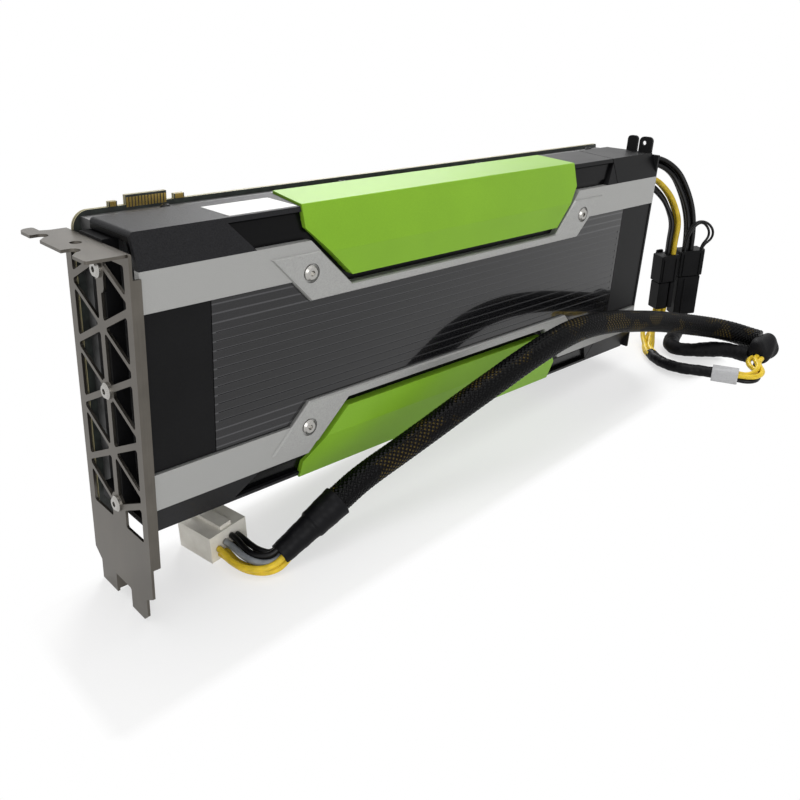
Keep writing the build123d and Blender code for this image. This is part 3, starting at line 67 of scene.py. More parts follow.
# Routes of the cables in millimetres, standing axes; they follow the photograph near their CAD tubes
SLEEVE_ROUTE = [
    (318.0, -39.2, 9.2),
    (318.0, -34.4, 9.2),
    (313.5, -28.0, 11.6),
    (301.0, -20.0, 16.4),
    (273.9, -15.5, 25.6),
    (245.0, -15.0, 34.5),
    (219.5, -15.0, 42.6),
    (190.6, -15.9, 46.8),
    (163.9, -15.6, 44.7),
    (143.8, -13.6, 38.7),
    (124.3, -10.5, 32.2),
    (104.0, -7.7, 26.3),
    (84.4, -5.74, 21.1),
]
SHRINK_ROUTE = [(73.4, -5.0, 16.4), (49.6, -3.4, 6.2)]
CONNECTOR_ROUTE = [
    (44.1, -3.03, 3.84),
    (39.8, 1.9, 4.2),
    (39.3, 7.4, 4.6),
    (39.82, 12.63, 5.0),
    (39.4, 15.6, 5.0),
]
PIGTAIL_A_ROUTE = [
    (283.61, 29.9, 79.37),
    (291.59, 29.9, 78.7),
    (302.5, 25.6, 82.0),
    (308.82, 20.91, 79.8),
    (312.87, 16.06, 73.69),
    (314.01, 13.1, 68.53),
    (314.83, 9.58, 60.33),
    (310.53, 7.97, 52.0),
    (310.53, 7.97, 45.2),
]
PIGTAIL_B_ROUTE = [
    (284.25, 29.9, 86.94),
    (292.22, 29.9, 86.27),
    (303.0, 27.2, 90.0),
    (313.98, 23.39, 89.97),
    (322.4, 17.94, 83.64),
    (324.0, 12.8, 75.0),
    (323.0, 7.6, 65.5),
    (318.94, 3.38, 56.0),
    (318.94, 3.38, 46.5),
]
SENSE_ROUTE = [
    (314.29, 3.0, 46.5),
    (314.29, 3.0, 51.3),
    (315.61, 2.41, 57.13),
    (318.4, 0.33, 61.4),
    (322.18, -2.12, 61.2),
    (325.2, -4.08, 57.2),
    (325.36, -4.19, 52.8),
    (322.09, -2.07, 49.2),
    (322.09, -2.07, 46.5),
]
BRANCH_A_ROUTE = [
    (308.72, 8.81, 17.0),
    (308.72, 8.81, 12.4),
    (299.2, 7.6, 9.0),
    (293.2, 5.2, 5.6),
    (284.1, -0.3, 3.4),
    (281.0, -4.2, 3.4),
    (277.2, -8.98, 3.4),
    (274.6, -16.0, 3.4),
    (275.4, -24.0, 3.4),
    (278.55, -29.7, 3.4),
    (280.7, -35.2, 3.4),
    (284.8, -45.7, 3.4),
    (286.2, -49.28, 3.4),
    (289.8, -51.8, 3.8),
    (295.2, -51.0, 4.4),
    (299.0, -47.0, 4.8),
    (302.5, -44.8, 5.0),
    (306.0, -44.8, 5.0),
]
BRANCH_B_ROUTE = [
    (319.79, 2.83, 12.3),
    (319.79, 2.83, 7.5),
    (314.6, 0.4, 5.2),
    (305.5, -2.6, 4.6),
    (296.0, -5.6, 4.3),
    (292.3, -11.2, 4.2),
    (296.4, -17.6, 4.2),
    (302.8, -22.7, 4.2),
    (307.6, -27.8, 4.2),
    (309.0, -33.8, 4.2),
    (309.0, -39.2, 4.2),
]
TAPE_ROUTE = [(306.2, -43.4, 6.6), (314.5, -43.2, 7.4), (322.8, -43.4, 7.6)]

# Where one covering ends and the next begins, as shares of a cable's length
SLEEVE_SHARE = 0.858
FILM_SHARE = 0.926
BRANCH_A_SHARES = (0.34, 0.655, 0.76)

# Coverings in metres: the film's radius at the wires, what it gains towards the sleeve, and its step
FILM_RADIUS = 0.0040
FILM_TAPER = 0.0013
FILM_STEP = 0.00045
BRANCH_FILM_RADIUS = 0.0026
BRANCH_TAPE_RADIUS = 0.0036
TAPE_WAVE = 0.0002
KNOB_RADIUS = 0.0056
SENSE_RADIUS = 0.0006
LABEL_HALF = (0.0034, 0.0029)

# Wires in a bundle in metres: across and upward at its first end, then across and upward at its last
CONNECTOR_WIRES = (
    (-0.0024, 0.0007, -0.0052, 0.0004),
    (-0.0019, -0.0016, -0.0050, -0.0020),
    (0.0002, -0.0024, -0.0026, -0.0024),
    (0.0023, -0.0009, 0.0012, -0.0020),
    (0.0020, 0.0014, 0.0034, 0.0008),
    (-0.0004, 0.0025, 0.0010, 0.0020),
    (-0.0003, 0.0004, -0.0020, 0.0012),
)
PIGTAIL_A_WIRES = (
    (-0.0012, 0.0026, -0.0012, 0.0012),
    (0.0012, 0.0030, 0.0012, 0.0014),
    (-0.0013, -0.0012, -0.0013, -0.0013),
    (0.0013, -0.0018, 0.0013, -0.0013),
)
PIGTAIL_B_WIRES = (
    (-0.0012, 0.0013, -0.0012, 0.0013),
    (0.0012, 0.0022, 0.0012, 0.0013),
    (-0.0013, -0.0013, -0.0013, -0.0013),
    (0.0013, -0.0011, 0.0013, -0.0011),
)
SENSE_WIRES = ((0.0007, 0.0, -0.0007, 0.0), (-0.0007, 0.0, 0.0007, 0.0))
BRANCH_WIRES = (
    (-0.0022, -0.0006, -0.0015, -0.0010),
    (0.0, -0.0013, 0.0009, -0.0013),
    (0.0022, -0.0005, 0.0013, 0.0010),
    (-0.0004, 0.0013, -0.0010, 0.0012),
)

# The braid: strands of one family round the sleeve and along a metre, and how far they cross over
BRAID_ROUND = 15.0
BRAID_ALONG = 480.0
CROWN = 0.65
CROSSING = 0.35

# Two pairs of housings: near corner, turn in degrees, width, lower end, joint and top in millimetres
NARROW = ((302.5, 7.3), -25.0, 10.0, 17.0, 31.5, 45.5)
WIDE = ((312.33, 2.9), -33.0, 12.6, 12.3, 33.5, 46.8)
HOUSING_DEPTH = 8.0
HOUSING_STEP = 0.8
SLIT = (6.25, 6.95)
BEVEL = 0.35
SMALL_BEVEL = 0.15
PLUG_GAP = 0.3
RIB_WIDTH = 0.8
RIB_ACROSS = (-0.4, 0.6)
NARROW_RIBS = (1.2, 8.0)
WIDE_RIBS = (1.6, 10.2)

# Places of patterns in the card's axes in millimetres
LINE_START = 77.5
LINE_PITCH = 2.9
BOARD_MIDDLE = 35.585

# The stage in metres. Near the card the floor shows its own shade and the shadow, and it gives way to
# plain white between the two distances of each pair. Under the card white still has a share of
# 1 - SHADOW_SHARE, and every share is multiplied by WHITE_GAIN, up to 1
FLOOR_REACH = 6.0
SHADOW_ALONG = (0.165, 0.23)
SHADOW_ACROSS = (0.03, 0.095)
SHADOW_MIDDLE = -0.02
SHADOW_SHARE = 0.9
WHITE_GAIN = 6.0

# Lamps: name, place, aim and size in metres, power in watts
LAMPS = (
    ("overhead", (0.1, 0.1, 1.3), (0, 0, 0), 1.1, 11.5),
    ("window", (0.75, 0.8, 0.75), (0.05, 0, 0), 0.5, 9.0),
    ("front fill", (-0.7, -1.3, 0.6), (0, 0, 0.05), 1.0, 10.0),
)
LAMP_GLOSS = 0.6

# The camera: lens and sensor in millimetres, place in the routes' millimetres, and two of its axes
LENS = 37.40
SENSOR = 36.0
LENS_SHIFT = (0.1016, -0.0396)
CAMERA_PLACE = (-82.785, -190.841, 183.771)
CAMERA_RIGHT = (0.763, -0.6447, -0.0472)
CAMERA_AHEAD = (0.5662, 0.7018, -0.4323)


# Shader building


class Value:
    """A number in a shader that takes plain arithmetic; each operation adds one maths node."""

    def __init__(self, shader, socket):
        self.shader = shader
        self.socket = socket

    def _math(self, operation, *others):
        return self.shader.node("ShaderNodeMath", {"operation": operation}, [self, *others])

    def __add__(self, other):
        return self._math("ADD", other)

    def __mul__(self, other):
        return self._math("MULTIPLY", other)

    def __sub__(self, other):
        return self._math("SUBTRACT", other)

    def __rsub__(self, other):
        return self.shader.node("ShaderNodeMath", {"operation": "SUBTRACT"}, [other, self])

    def __truediv__(self, other):
        return self._math("DIVIDE", other)

    def __mod__(self, other):
        return self._math("FLOORED_MODULO", other)

    __radd__ = __add__
    __rmul__ = __mul__

    def least(self, other):
        return self._math("MINIMUM", other)

    def most(self, other):
        return self._math("MAXIMUM", other)

    def absolute(self):
        return self._math("ABSOLUTE")

    def cosine(self):
        return self._math("COSINE")

    def clamped(self, low, high):
        """Runs from 0 at low to 1 at high and stays there."""
        limits = {"Value": self, "From Min": low, "From Max": high}
        return self.shader.node("ShaderNodeMapRange", {"clamp": True}, limits)


class Shader:
    """The nodes of one material or world."""

    def __init__(self, tree):
        self.tree = tree

    def node(self, kind, settings=None, inputs=(), output=0):
        """A node of a kind with its settings made first, then its sockets; gives its chosen output."""
        made = self.tree.nodes.new(kind)
        for key, value in (settings or {}).items():
            setattr(made, key, value)
        pairs = inputs.items() if isinstance(inputs, dict) else enumerate(inputs)
        for key, value in pairs:
            self.join(made.inputs[key], value)
        return Value(self, made.outputs[output])

    def outlets(self, kind, inputs=()):
        """Every output of one new node, by name."""
        made = self.node(kind, inputs=inputs).socket.node
        return {socket.name: Value(self, socket) for socket in made.outputs}

    def join(self, socket, value):
        """Links a value to a socket, or sets the socket to a number, a colour or a vector."""
        if isinstance(value, Value):
            self.tree.links.new(value.socket, socket)
        elif isinstance(value, tuple) and len(value) == 3 and socket.type == "RGBA":
            socket.default_value = (*value, 1.0)
        else:
            socket.default_value = value


class Finish(Shader):
    """One material with a Principled surface; sockets are set by name with numbers, colours or values."""

    def __init__(self, name, **sockets):
        self.material = bpy.data.materials.new(name)
        self.material.use_nodes = True
        super().__init__(self.material.node_tree)
        self.surface = self.tree.nodes["Principled BSDF"]
        self.set(**sockets)

    def set(self, **sockets):
        """Sets or links sockets of the surface by name."""
        for name, value in sockets.items():
            self.join(self.surface.inputs[name.replace("_", " ")], value)

    def place(self, card=True):
        """Object coordinates in millimetres, along the leaning card's own axes when card is true."""
        spot = self.node("ShaderNodeTexCoord", output="Object")
        turn = (0.0, LEAN, 0.0) if card else (0.0, 0.0, 0.0)
        return self.node(
            "ShaderNodeMapping",
            {"vector_type": "TEXTURE"},
            {"Vector": spot, "Location": tuple(FOOT), "Rotation": turn, "Scale": (0.001, 0.001, 0.001)},
        )

    def along(self, vector, scale):
        """A vector with each of its axes scaled."""
        return self.node("ShaderNodeVectorMath", {"operation": "MULTIPLY"}, [vector, scale])

    def noise(self, vector, scale, detail=3.0, roughness=0.5):
        """A smooth random number that changes over a vector."""
        return self.node(
            "ShaderNodeTexNoise",
            inputs={"Vector": vector, "Scale": scale, "Detail": detail, "Roughness": roughness},
        )

    def mix(self, factor, first, second):
        """A colour between two colours."""
        inputs = {"Factor": factor, 6: first, 7: second}
        return self.node("ShaderNodeMix", {"data_type": "RGBA"}, inputs, 2)

    def axes(self, vector):
        """The three parts of a vector."""
        return list(self.outlets("ShaderNodeSeparateXYZ", [vector]).values())

    def bump(self, height, strength, distance=0.0001):
        """Makes the surface look raised by a height."""
        inputs = {"Height": height, "Strength": strength, "Distance": distance}
        self.set(Normal=self.node("ShaderNodeBump", inputs=inputs))


def rgb(red, green, blue):
    """A colour written as it looks on a screen, from 0 to 255, as scene values."""
    shares = np.array([red, green, blue]) / 255
    values = np.where(shares < 0.04045, shares / 12.92, ((shares + 0.055) / 1.055) ** 2.4)
    return tuple(float(v) for v in values)


def shaded(colour, factor):
    """A colour made darker or lighter by a factor."""
    return tuple(min(1.0, float(c) * factor) for c in colour)


# Surfaces from grids of points


def smooth_line(points, count, name="route"):
    """Evenly spaced points of the smooth line that a NURBS spline draws from control points in metres."""
    curve = bpy.data.curves.new(name, "CURVE")
    curve.dimensions = "3D"
    curve.resolution_u = 16
    spline = curve.splines.new("NURBS")
    spline.points.add(len(points) - 1)
    spline.points.foreach_set("co", np.column_stack([points, np.ones(len(points))]).ravel())
    spline.order_u = 3
    spline.use_endpoint_u = True
    carrier = bpy.data.objects.new(name, curve)
    mesh = bpy.data.meshes.new_from_object(carrier)
    line = np.empty(len(mesh.vertices) * 3)
    mesh.vertices.foreach_get("co", line)
    line = line.reshape(-1, 3)
    bpy.data.objects.remove(carrier)
    bpy.data.curves.remove(curve)
    bpy.data.meshes.remove(mesh)
    runs = np.concatenate([[0.0], np.cumsum(np.linalg.norm(np.diff(line, axis=0), axis=1))])
    even = np.linspace(0.0, runs[-1], count)
    return np.column_stack([np.interp(even, runs, line[:, i]) for i in range(3)])


def unit(vectors):
    """Each vector divided by its length."""
    return vectors / np.linalg.norm(vectors, axis=-1, keepdims=True)


def side_frames(line, reference=(0.0, 0.0, 1.0)):
    """Two directions across each point of a line, turned as little as possible from point to point."""
    ahead = unit(np.gradient(line, axis=0))
    first = np.array(reference, dtype=float)
    sides = np.empty_like(line)
    for i, direction in enumerate(ahead):
        first = first - direction * (first @ direction)
        first = first / np.linalg.norm(first)
        sides[i] = first
    return sides, np.cross(ahead, sides)


def tube(line, radius, columns, reference=(0.0, 0.0, 1.0)):
    """Circle of a radius carried along a line: centre + radius x (cos a x side + sin a x other side).
    The radius is one number, one per row, or one per point of the grid."""
    sides, others = side_frames(line, reference)
    angle = np.arange(columns) / columns * 2 * math.pi
    radius = np.asarray(radius, dtype=float)
    if radius.ndim == 1:
        radius = radius[:, None]
    radius = np.broadcast_to(radius, (len(line), columns))
    along_side = np.cos(angle)[None, :, None] * sides[:, None, :]
    along_other = np.sin(angle)[None, :, None] * others[:, None, :]
    ring = along_side + along_other
    return line[:, None, :] + radius[:, :, None] * ring


def strand_line(line, across, upward, reference=(0.0, 0.0, 1.0)):
    """A line that runs beside another: point + across x side + upward x other side."""
    sides, others = side_frames(line, reference)
    return line + np.asarray(across)[:, None] * others + np.asarray(upward)[:, None] * sides


def grid_piece(name, grids, finishes, slots=None, smooth=True):
    """Mesh of closed tubes given as grids (rows, columns, 3), each with a fan over both ends.
    The UV map holds metres along the grid and turns round it."""
    corners, faces, uvs, marks = [], [], [], []
    start = 0
    for number, grid in enumerate(grids):
        rows, columns = grid.shape[:2]
        ends = grid[[0, -1]].mean(axis=1)
        corners.append(grid.reshape(-1, 3))
        corners.append(ends)
        row, column = np.meshgrid(np.arange(rows - 1), np.arange(columns), indexing="ij")
        after = (column + 1) % columns
        here, above = row * columns, (row + 1) * columns
        quads = np.stack([here + column, here + after, above + after, above + column], axis=-1).reshape(-1, 4)
        run = np.linalg.norm(np.diff(grid.mean(axis=1), axis=0), axis=1)
        along = np.concatenate([[0.0], np.cumsum(run)])
        u = np.stack([along[row], along[row], along[row + 1], along[row + 1]], axis=-1).reshape(-1, 4)
        v = np.stack([column, column + 1, column + 1, column], axis=-1).reshape(-1, 4) / columns
        ring = np.arange(columns)
        following = (ring + 1) % columns
        low = np.stack([following, ring, np.full(columns, rows * columns)], axis=-1)
        top = (rows - 1) * columns
        high = np.stack([top + ring, top + following, np.full(columns, rows * columns + 1)], axis=-1)
        faces += (quads + start).tolist() + (low + start).tolist() + (high + start).tolist()
        uvs.append(np.stack([u, v], axis=-1).reshape(-1, 2))
        turn = np.stack([ring + 1, ring, ring + 0.5], axis=-1).reshape(-1) / columns
        uvs.append(np.stack([np.zeros(3 * columns), turn], axis=-1))
        uvs.append(np.stack([np.full(3 * columns, along[-1]), turn], axis=-1))
        marks.append(np.full(len(quads) + 2 * columns, 0 if slots is None else slots[number]))
        start += rows * columns + 2
    mesh = bpy.data.meshes.new(name)
    mesh.from_pydata(np.concatenate(corners).tolist(), [], faces)
    mesh.uv_layers.new(name="UVMap").data.foreach_set("uv", np.concatenate(uvs).ravel())
    mesh.polygons.foreach_set("material_index", np.concatenate(marks).astype(np.int32))
    mesh.polygons.foreach_set("use_smooth", np.full(len(faces), smooth))
    for finish in finishes:
        mesh.materials.append(finish.material)
    mesh.update()
    piece = bpy.data.objects.new(name, mesh)
    bpy.context.scene.collection.objects.link(piece)
    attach(piece, "root")
    return piece


def dress(finish, *names):
    """Gives CAD nodes a finish."""
    for name in names:
        mesh = nodes[name].data
        mesh.materials.clear()
        mesh.materials.append(finish.material)


# Finishes of the card's own pieces


def bracket_steel(colour):
    """Warm grey plated sheet: satin with fine vertical rolling lines and faint cloudy stains."""
    finish = Finish("bracket steel", Metallic=1.0)
    spot = finish.place()
    streaks = finish.noise(finish.along(spot, (1.5, 1.5, 0.04)), 2.2, 4.0)
    clouds = finish.noise(spot, 0.08, 3.0)
    shade = streaks * 0.35 + clouds * 0.65
    finish.set(
        Base_Color=finish.mix(shade.clamped(0.3, 0.7), shaded(colour, 0.8), shaded(colour, 1.15)),
        Roughness=streaks * 0.12 + clouds * 0.1 + 0.27,
    )
    finish.bump(streaks, 0.12)
    return finish


def rail_silver(colour):
    """Silver paint with fine metal flakes."""
    finish = Finish("rail silver", Metallic=0.55)
    spot = finish.place()
    flakes = finish.noise(spot, 5.0, 2.0)
    clouds = finish.noise(spot, 0.05, 2.0)
    finish.set(
        Base_Color=finish.mix(flakes.clamped(0.35, 0.65), shaded(colour, 0.85), shaded(colour, 1.15)),
        Roughness=flakes * 0.14 + clouds * 0.08 + 0.3,
    )
    finish.bump(flakes, 0.1)
    return finish


def accent_paint(colour):
    """Light green satin paint with a soft pearl grain."""
    finish = Finish("accent paint", Coat_Weight=0.04, Coat_Roughness=0.25, Specular_IOR_Level=0.15)
    spot = finish.place()
    grain = finish.noise(spot, 4.0, 2.0)
    clouds = finish.noise(spot, 0.04, 3.0)
    share = grain * 0.6 + clouds * 0.4
    finish.set(
        Base_Color=finish.mix(share.clamped(0.35, 0.65), shaded(colour, 0.92), shaded(colour, 1.08)),
        Roughness=grain * 0.12 + clouds * 0.08 + 0.3,
    )
    finish.bump(grain, 0.08)
    return finish


def textured_black():
    """Black paint with a fine leather-like crackle."""
    finish = Finish("textured black", Specular_IOR_Level=0.14)
    spot = finish.place()
    grain = finish.node("ShaderNodeTexVoronoi", {"feature": "SMOOTH_F1"}, {"Vector": spot, "Scale": 1.5})
    fine = finish.noise(spot, 3.0, 4.0)
    finish.set(
        Base_Color=finish.mix(fine.clamped(0.3, 0.7), rgb(17, 17, 19), rgb(36, 36, 38)),
        Roughness=fine * 0.2 + 0.42,
    )
    finish.bump(grain * 0.6 + fine * 0.6, 0.5, 0.00012)
    return finish


def satin_black(name, low, high, rough):
    """Smooth black paint or moulding with a faint grain."""
    finish = Finish(name, Specular_IOR_Level=0.1)
    spot = finish.place()
    fine = finish.noise(spot, 2.4, 3.0)
    clouds = finish.noise(spot, 0.06, 3.0)
    share = (fine * 0.5 + clouds * 0.5).clamped(0.3, 0.7)
    finish.set(
        Base_Color=finish.mix(share, rgb(low, low, low + 1), rgb(high, high, high + 1)),
        Roughness=fine * 0.12 + clouds * 0.1 + rough,
    )
    finish.bump(fine, 0.1)
    return finish


def lined_gloss():
    """Dark glossy sheet with fine hairlines along it and brighter cut lines at an even pitch."""
    finish = Finish("lined gloss", Coat_Weight=0.7, Coat_Roughness=0.03, Specular_IOR_Level=0.1)
    spot = finish.place()
    height = finish.axes(spot)[2]
    hair = finish.noise(finish.along(spot, (0.02, 1.0, 3.0)), 3.0, 3.0)
    line = ((height - LINE_START) / LINE_PITCH + 0.5) % 1.0 - 0.5
    cut = 1.0 - line.absolute().clamped(0.05, 0.11)
    sheet = finish.mix(hair.clamped(0.3, 0.7), rgb(16, 16, 18), rgb(26, 26, 28))
    finish.set(
        Base_Color=finish.mix(cut * 0.65, sheet, rgb(84, 84, 86)),
        Roughness=hair * 0.16 + 0.1,
        Metallic=cut * 0.5 + 0.25,
    )
    finish.bump(hair, 0.05)
    return finish


def plain_metal(name, colour, rough, grain=3.0):
    """Bare metal with a fine random grain."""
    finish = Finish(name, Metallic=1.0)
    spot = finish.place()
    fine = finish.noise(spot, grain, 4.0)
    clouds = finish.noise(spot, 0.1, 2.0)
    share = (fine * 0.5 + clouds * 0.5).clamped(0.3, 0.7)
    finish.set(
        Base_Color=finish.mix(share, shaded(colour, 0.8), colour),
        Roughness=fine * 0.15 + rough,
    )
    finish.bump(fine, 0.15)
    return finish


def board_layers():
    """Dark board face; its cut edge shows pale glass fibre with a dark band in the middle."""
    finish = Finish("board")
    spot = finish.place()
    depth = (finish.axes(spot)[1] - BOARD_MIDDLE).absolute()
    fibre = finish.noise(finish.along(spot, (0.6, 6.0, 6.0)), 1.0, 3.0)
    inside = depth.clamped(0.72, 0.7)
    band = depth.clamped(0.3, 0.24)
    edge = finish.mix(band, finish.mix(fibre, rgb(150, 140, 96), rgb(186, 178, 134)), rgb(70, 66, 46))
    face = finish.mix(finish.noise(spot, 0.4, 5.0).clamped(0.4, 0.6), rgb(20, 24, 22), rgb(34, 40, 36))
    finish.set(Base_Color=finish.mix(inside, face, edge), Roughness=fibre * 0.2 + 0.4)
    finish.bump(fibre, 0.1)
    return finish


def label_paper(name, dark, light):
    """Blank label paper with a faint fibre."""
    finish = Finish(name)
    spot = finish.place(False)
    fibre = finish.noise(spot, 2.0, 5.0)
    finish.set(
        Base_Color=finish.mix(fibre.clamped(0.3, 0.7), dark, light),
        Roughness=fibre * 0.15 + 0.45,
    )
    finish.bump(fibre, 0.1)
    return finish


def wire_jacket(name, dark, light, rough=0.32):
    """Glossy wire insulation with faint marks along it; pattern on the wire's own UV."""
    finish = Finish(name, Coat_Weight=0.06, Coat_Roughness=0.15, Specular_IOR_Level=0.2)
    place = finish.node("ShaderNodeTexCoord", output="UV")
    marks = finish.noise(finish.along(place, (260.0, 4.0, 1.0)), 1.0, 4.0)
    finish.set(
        Base_Color=finish.mix(marks.clamped(0.35, 0.65), dark, light),
        Roughness=marks * 0.15 + rough,
    )
    finish.bump(marks, 0.15)
    return finish


def braid_mesh():
    """Black woven monofilament sleeve: two families of strands cross over and under each other.
    A strand's height is |cos| of its family's phase, and the deepest gaps show the wires inside as
    dark yellow streaks on black; their yellow is painted dark, a painted shade under the braid."""
    finish = Finish("braid mesh", Coat_Weight=0.08, Coat_Roughness=0.1, Specular_IOR_Level=0.04)
    place = finish.node("ShaderNodeTexCoord", output="UV")
    u, v, _ = finish.axes(place)
    first = ((v * BRAID_ROUND + u * BRAID_ALONG) * math.pi).cosine()
    second = ((v * BRAID_ROUND - u * BRAID_ALONG) * math.pi).cosine()
    over = first * second * CROSSING
    height = (first.absolute() * (over + CROWN)).most(second.absolute() * (CROWN - over))
    hole = 1.0 - height.clamped(0.3, 0.5)
    wire = finish.noise(finish.along(place, (60.0, 3.0, 1.0)), 1.0, 2.0)
    # Painted shade: the yellow of the wires seen in the gaps is darkened to rgb(84, 70, 28), for the shade
    # under the braid
    inside = finish.mix(wire.clamped(0.52, 0.58), rgb(3, 3, 4), rgb(84, 70, 28))
    finish.set(
        Base_Color=finish.mix(hole, rgb(3, 3, 4), inside),
        Roughness=0.3 - height * 0.12,
    )
    finish.bump(height, 0.9, 0.0004)
    return finish


def cloth_tape():
    """Black cloth tape: a fine weave with wrinkled gloss."""
    finish = Finish("cloth tape", Specular_IOR_Level=0.1)
    place = finish.node("ShaderNodeTexCoord", output="UV")
    u, v, _ = finish.axes(place)
    weave = (u * 9000.0).cosine() * (v * 190.0).cosine()
    wrinkle = finish.noise(finish.place(False), 0.35, 4.0)
    finish.set(
        Base_Color=finish.mix(wrinkle.clamped(0.3, 0.7), rgb(8, 8, 9), rgb(20, 20, 22)),
        Roughness=wrinkle * 0.25 + 0.45,
    )
    finish.bump(weave * 0.3 + wrinkle, 0.5, 0.0002)
    return finish


def shrink_film():
    """Black shrink tubing: smooth satin with fine creases round it."""
    finish = Finish("shrink film", Coat_Weight=0.04, Coat_Roughness=0.25, Specular_IOR_Level=0.1)
    place = finish.node("ShaderNodeTexCoord", output="UV")
    crease = finish.noise(finish.along(place, (320.0, 5.0, 1.0)), 1.0, 3.0)
    cloud = finish.noise(finish.place(False), 0.25, 3.0)
    share = (crease * 0.5 + cloud * 0.5).clamped(0.3, 0.7)
    finish.set(
        Base_Color=finish.mix(share, rgb(5, 5, 7), rgb(14, 14, 17)),
        Roughness=crease * 0.2 + cloud * 0.15 + 0.35,
    )
    finish.bump(crease * 0.6 + cloud * 0.6, 0.35, 0.0002)
    return finish


def nylon(name, dark, light):
    """Moulded connector nylon, slightly cloudy with a fine grain."""
    finish = Finish(name, Coat_Weight=0.02, Coat_Roughness=0.25, Specular_IOR_Level=0.1)
    spot = finish.place(False)
    cloud = finish.noise(spot, 0.18, 3.0)
    grain = finish.noise(spot, 3.0, 3.0)
    finish.set(
        Base_Color=finish.mix((cloud * 0.7 + grain * 0.3).clamped(0.35, 0.65), dark, light),
        Roughness=grain * 0.15 + 0.36,
    )
    finish.bump(grain, 0.08)
    return finish


# Cable shapes


def swell(share, start, end):
    """Runs from 0 at the start share to 1 at the end share with no kink at either."""
    step = np.clip((share - start) / (end - start), 0.0, 1.0)
    return step * step * (3.0 - 2.0 * step)


def wires(line, layout, radius, wander=0.0003, columns=14, reference=(0.0, 0.0, 1.0)):
    """Round wires beside a line: each goes from its first place in the bundle to its last by a smooth
    step, plus a slow sine drift that is zero at both ends. Places are (across, upward, across, upward)."""
    share = np.linspace(0.0, 1.0, len(line))
    step = swell(share, 0.15, 0.85)
    fade = np.sin(share * math.pi)
    grids = []
    for number, (across, upward, last_across, last_upward) in enumerate(layout):
        phase = number * 2.4
        side = across + (last_across - across) * step + wander * fade * np.sin(share * 7.0 + phase)
        rise = upward + (last_upward - upward) * step + wander * fade * np.cos(share * 5.0 + phase)
        grids.append(tube(strand_line(line, side, rise, reference), radius, columns, reference))
    return grids


def woven_tube(line, radius, relief, columns=90):
    """Braided sleeve: radius + relief x the height of two crossing families of strands, which is the
    larger of |cos a| (crown + crossing w) and |cos b| (crown - crossing w), with w = cos a cos b."""
    run = np.concatenate([[0.0], np.cumsum(np.linalg.norm(np.diff(line, axis=0), axis=1))])[:, None]
    turn = (np.arange(columns) / columns)[None, :]
    first = np.cos((turn * BRAID_ROUND + run * BRAID_ALONG) * math.pi)
    second = np.cos((turn * BRAID_ROUND - run * BRAID_ALONG) * math.pi)
    over = first * second * CROSSING
    height = np.maximum(np.abs(first) * (CROWN + over), np.abs(second) * (CROWN - over))
    swelling = 0.00018 * np.sin(run * 95.0 + turn * 2 * math.pi) + 0.00012 * np.sin(run * 41.0 + 1.0)
    return tube(line, radius - relief + relief * height + swelling, columns)


def creased_tube(line, radii, crease, columns=40, waves=9.0):
    """Film over a bundle: a radius that changes along it plus creases made of crossing sines."""
    share = np.linspace(0.0, 1.0, len(line))[:, None]
    angle = (np.arange(columns) / columns * 2 * math.pi)[None, :]
    phase = waves * share * math.pi
    folds = np.sin(phase + 2 * angle) + 0.6 * np.sin(2.3 * phase - 3 * angle + 1.0)
    lumps = 0.7 * np.sin(3 * angle + 4.0 * share)
    return tube(line, np.asarray(radii)[:, None] + crease * (folds * 0.5 + lumps * 0.4), columns)


def moulded_box(corner, turn, along, across, low, high, edge=BEVEL):
    """Box with small bevels, turned about the vertical at a corner: rows go up it and shrink by the bevel
    at both ends, and columns go round a rectangle whose corners are cut by the bevel. In millimetres."""
    (x0, x1), (y0, y1) = along, across
    ring = []
    for x, y, dx, dy in ((x0, y0, 1, 1), (x1, y0, -1, 1), (x1, y1, -1, -1), (x0, y1, 1, -1)):
        first, second = (x, y + edge * dy), (x + edge * dx, y)
        ring += [first, second] if dx == dy else [second, first]
    ring = np.array(ring)
    middle = np.array([(x0 + x1) / 2, (y0 + y1) / 2])
    rows = []
    for inset, height in ((edge, low), (0.0, low + edge), (0.0, high - edge), (edge, high)):
        shrunk = ring - np.sign(ring - middle) * inset
        rows.append(np.column_stack([shrunk, np.full(len(ring), height)]))
    grid = np.array(rows)
    angle = math.radians(turn)
    x = corner[0] + grid[:, :, 0] * math.cos(angle) - grid[:, :, 1] * math.sin(angle)
    y = corner[1] + grid[:, :, 0] * math.sin(angle) + grid[:, :, 1] * math.cos(angle)
    flat = np.stack([x, y, grid[:, :, 2]], axis=-1)
    return at(flat.reshape(-1, 3)).reshape(flat.shape)


def ribs(housing, places):
    """Upright ribs on the near face of a housing, each a small box that starts at its place."""
    corner, turn, _, _, joint, top = housing
    return [
        moulded_box(corner, turn, (x, x + RIB_WIDTH), RIB_ACROSS, joint + 0.4, top - 1.6, SMALL_BEVEL)
        for x in places
    ]


def declare(nodes_shown):
    """Hides the CAD tubes that a piece stands for."""
    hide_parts(*nodes_shown)


# Settings and operators


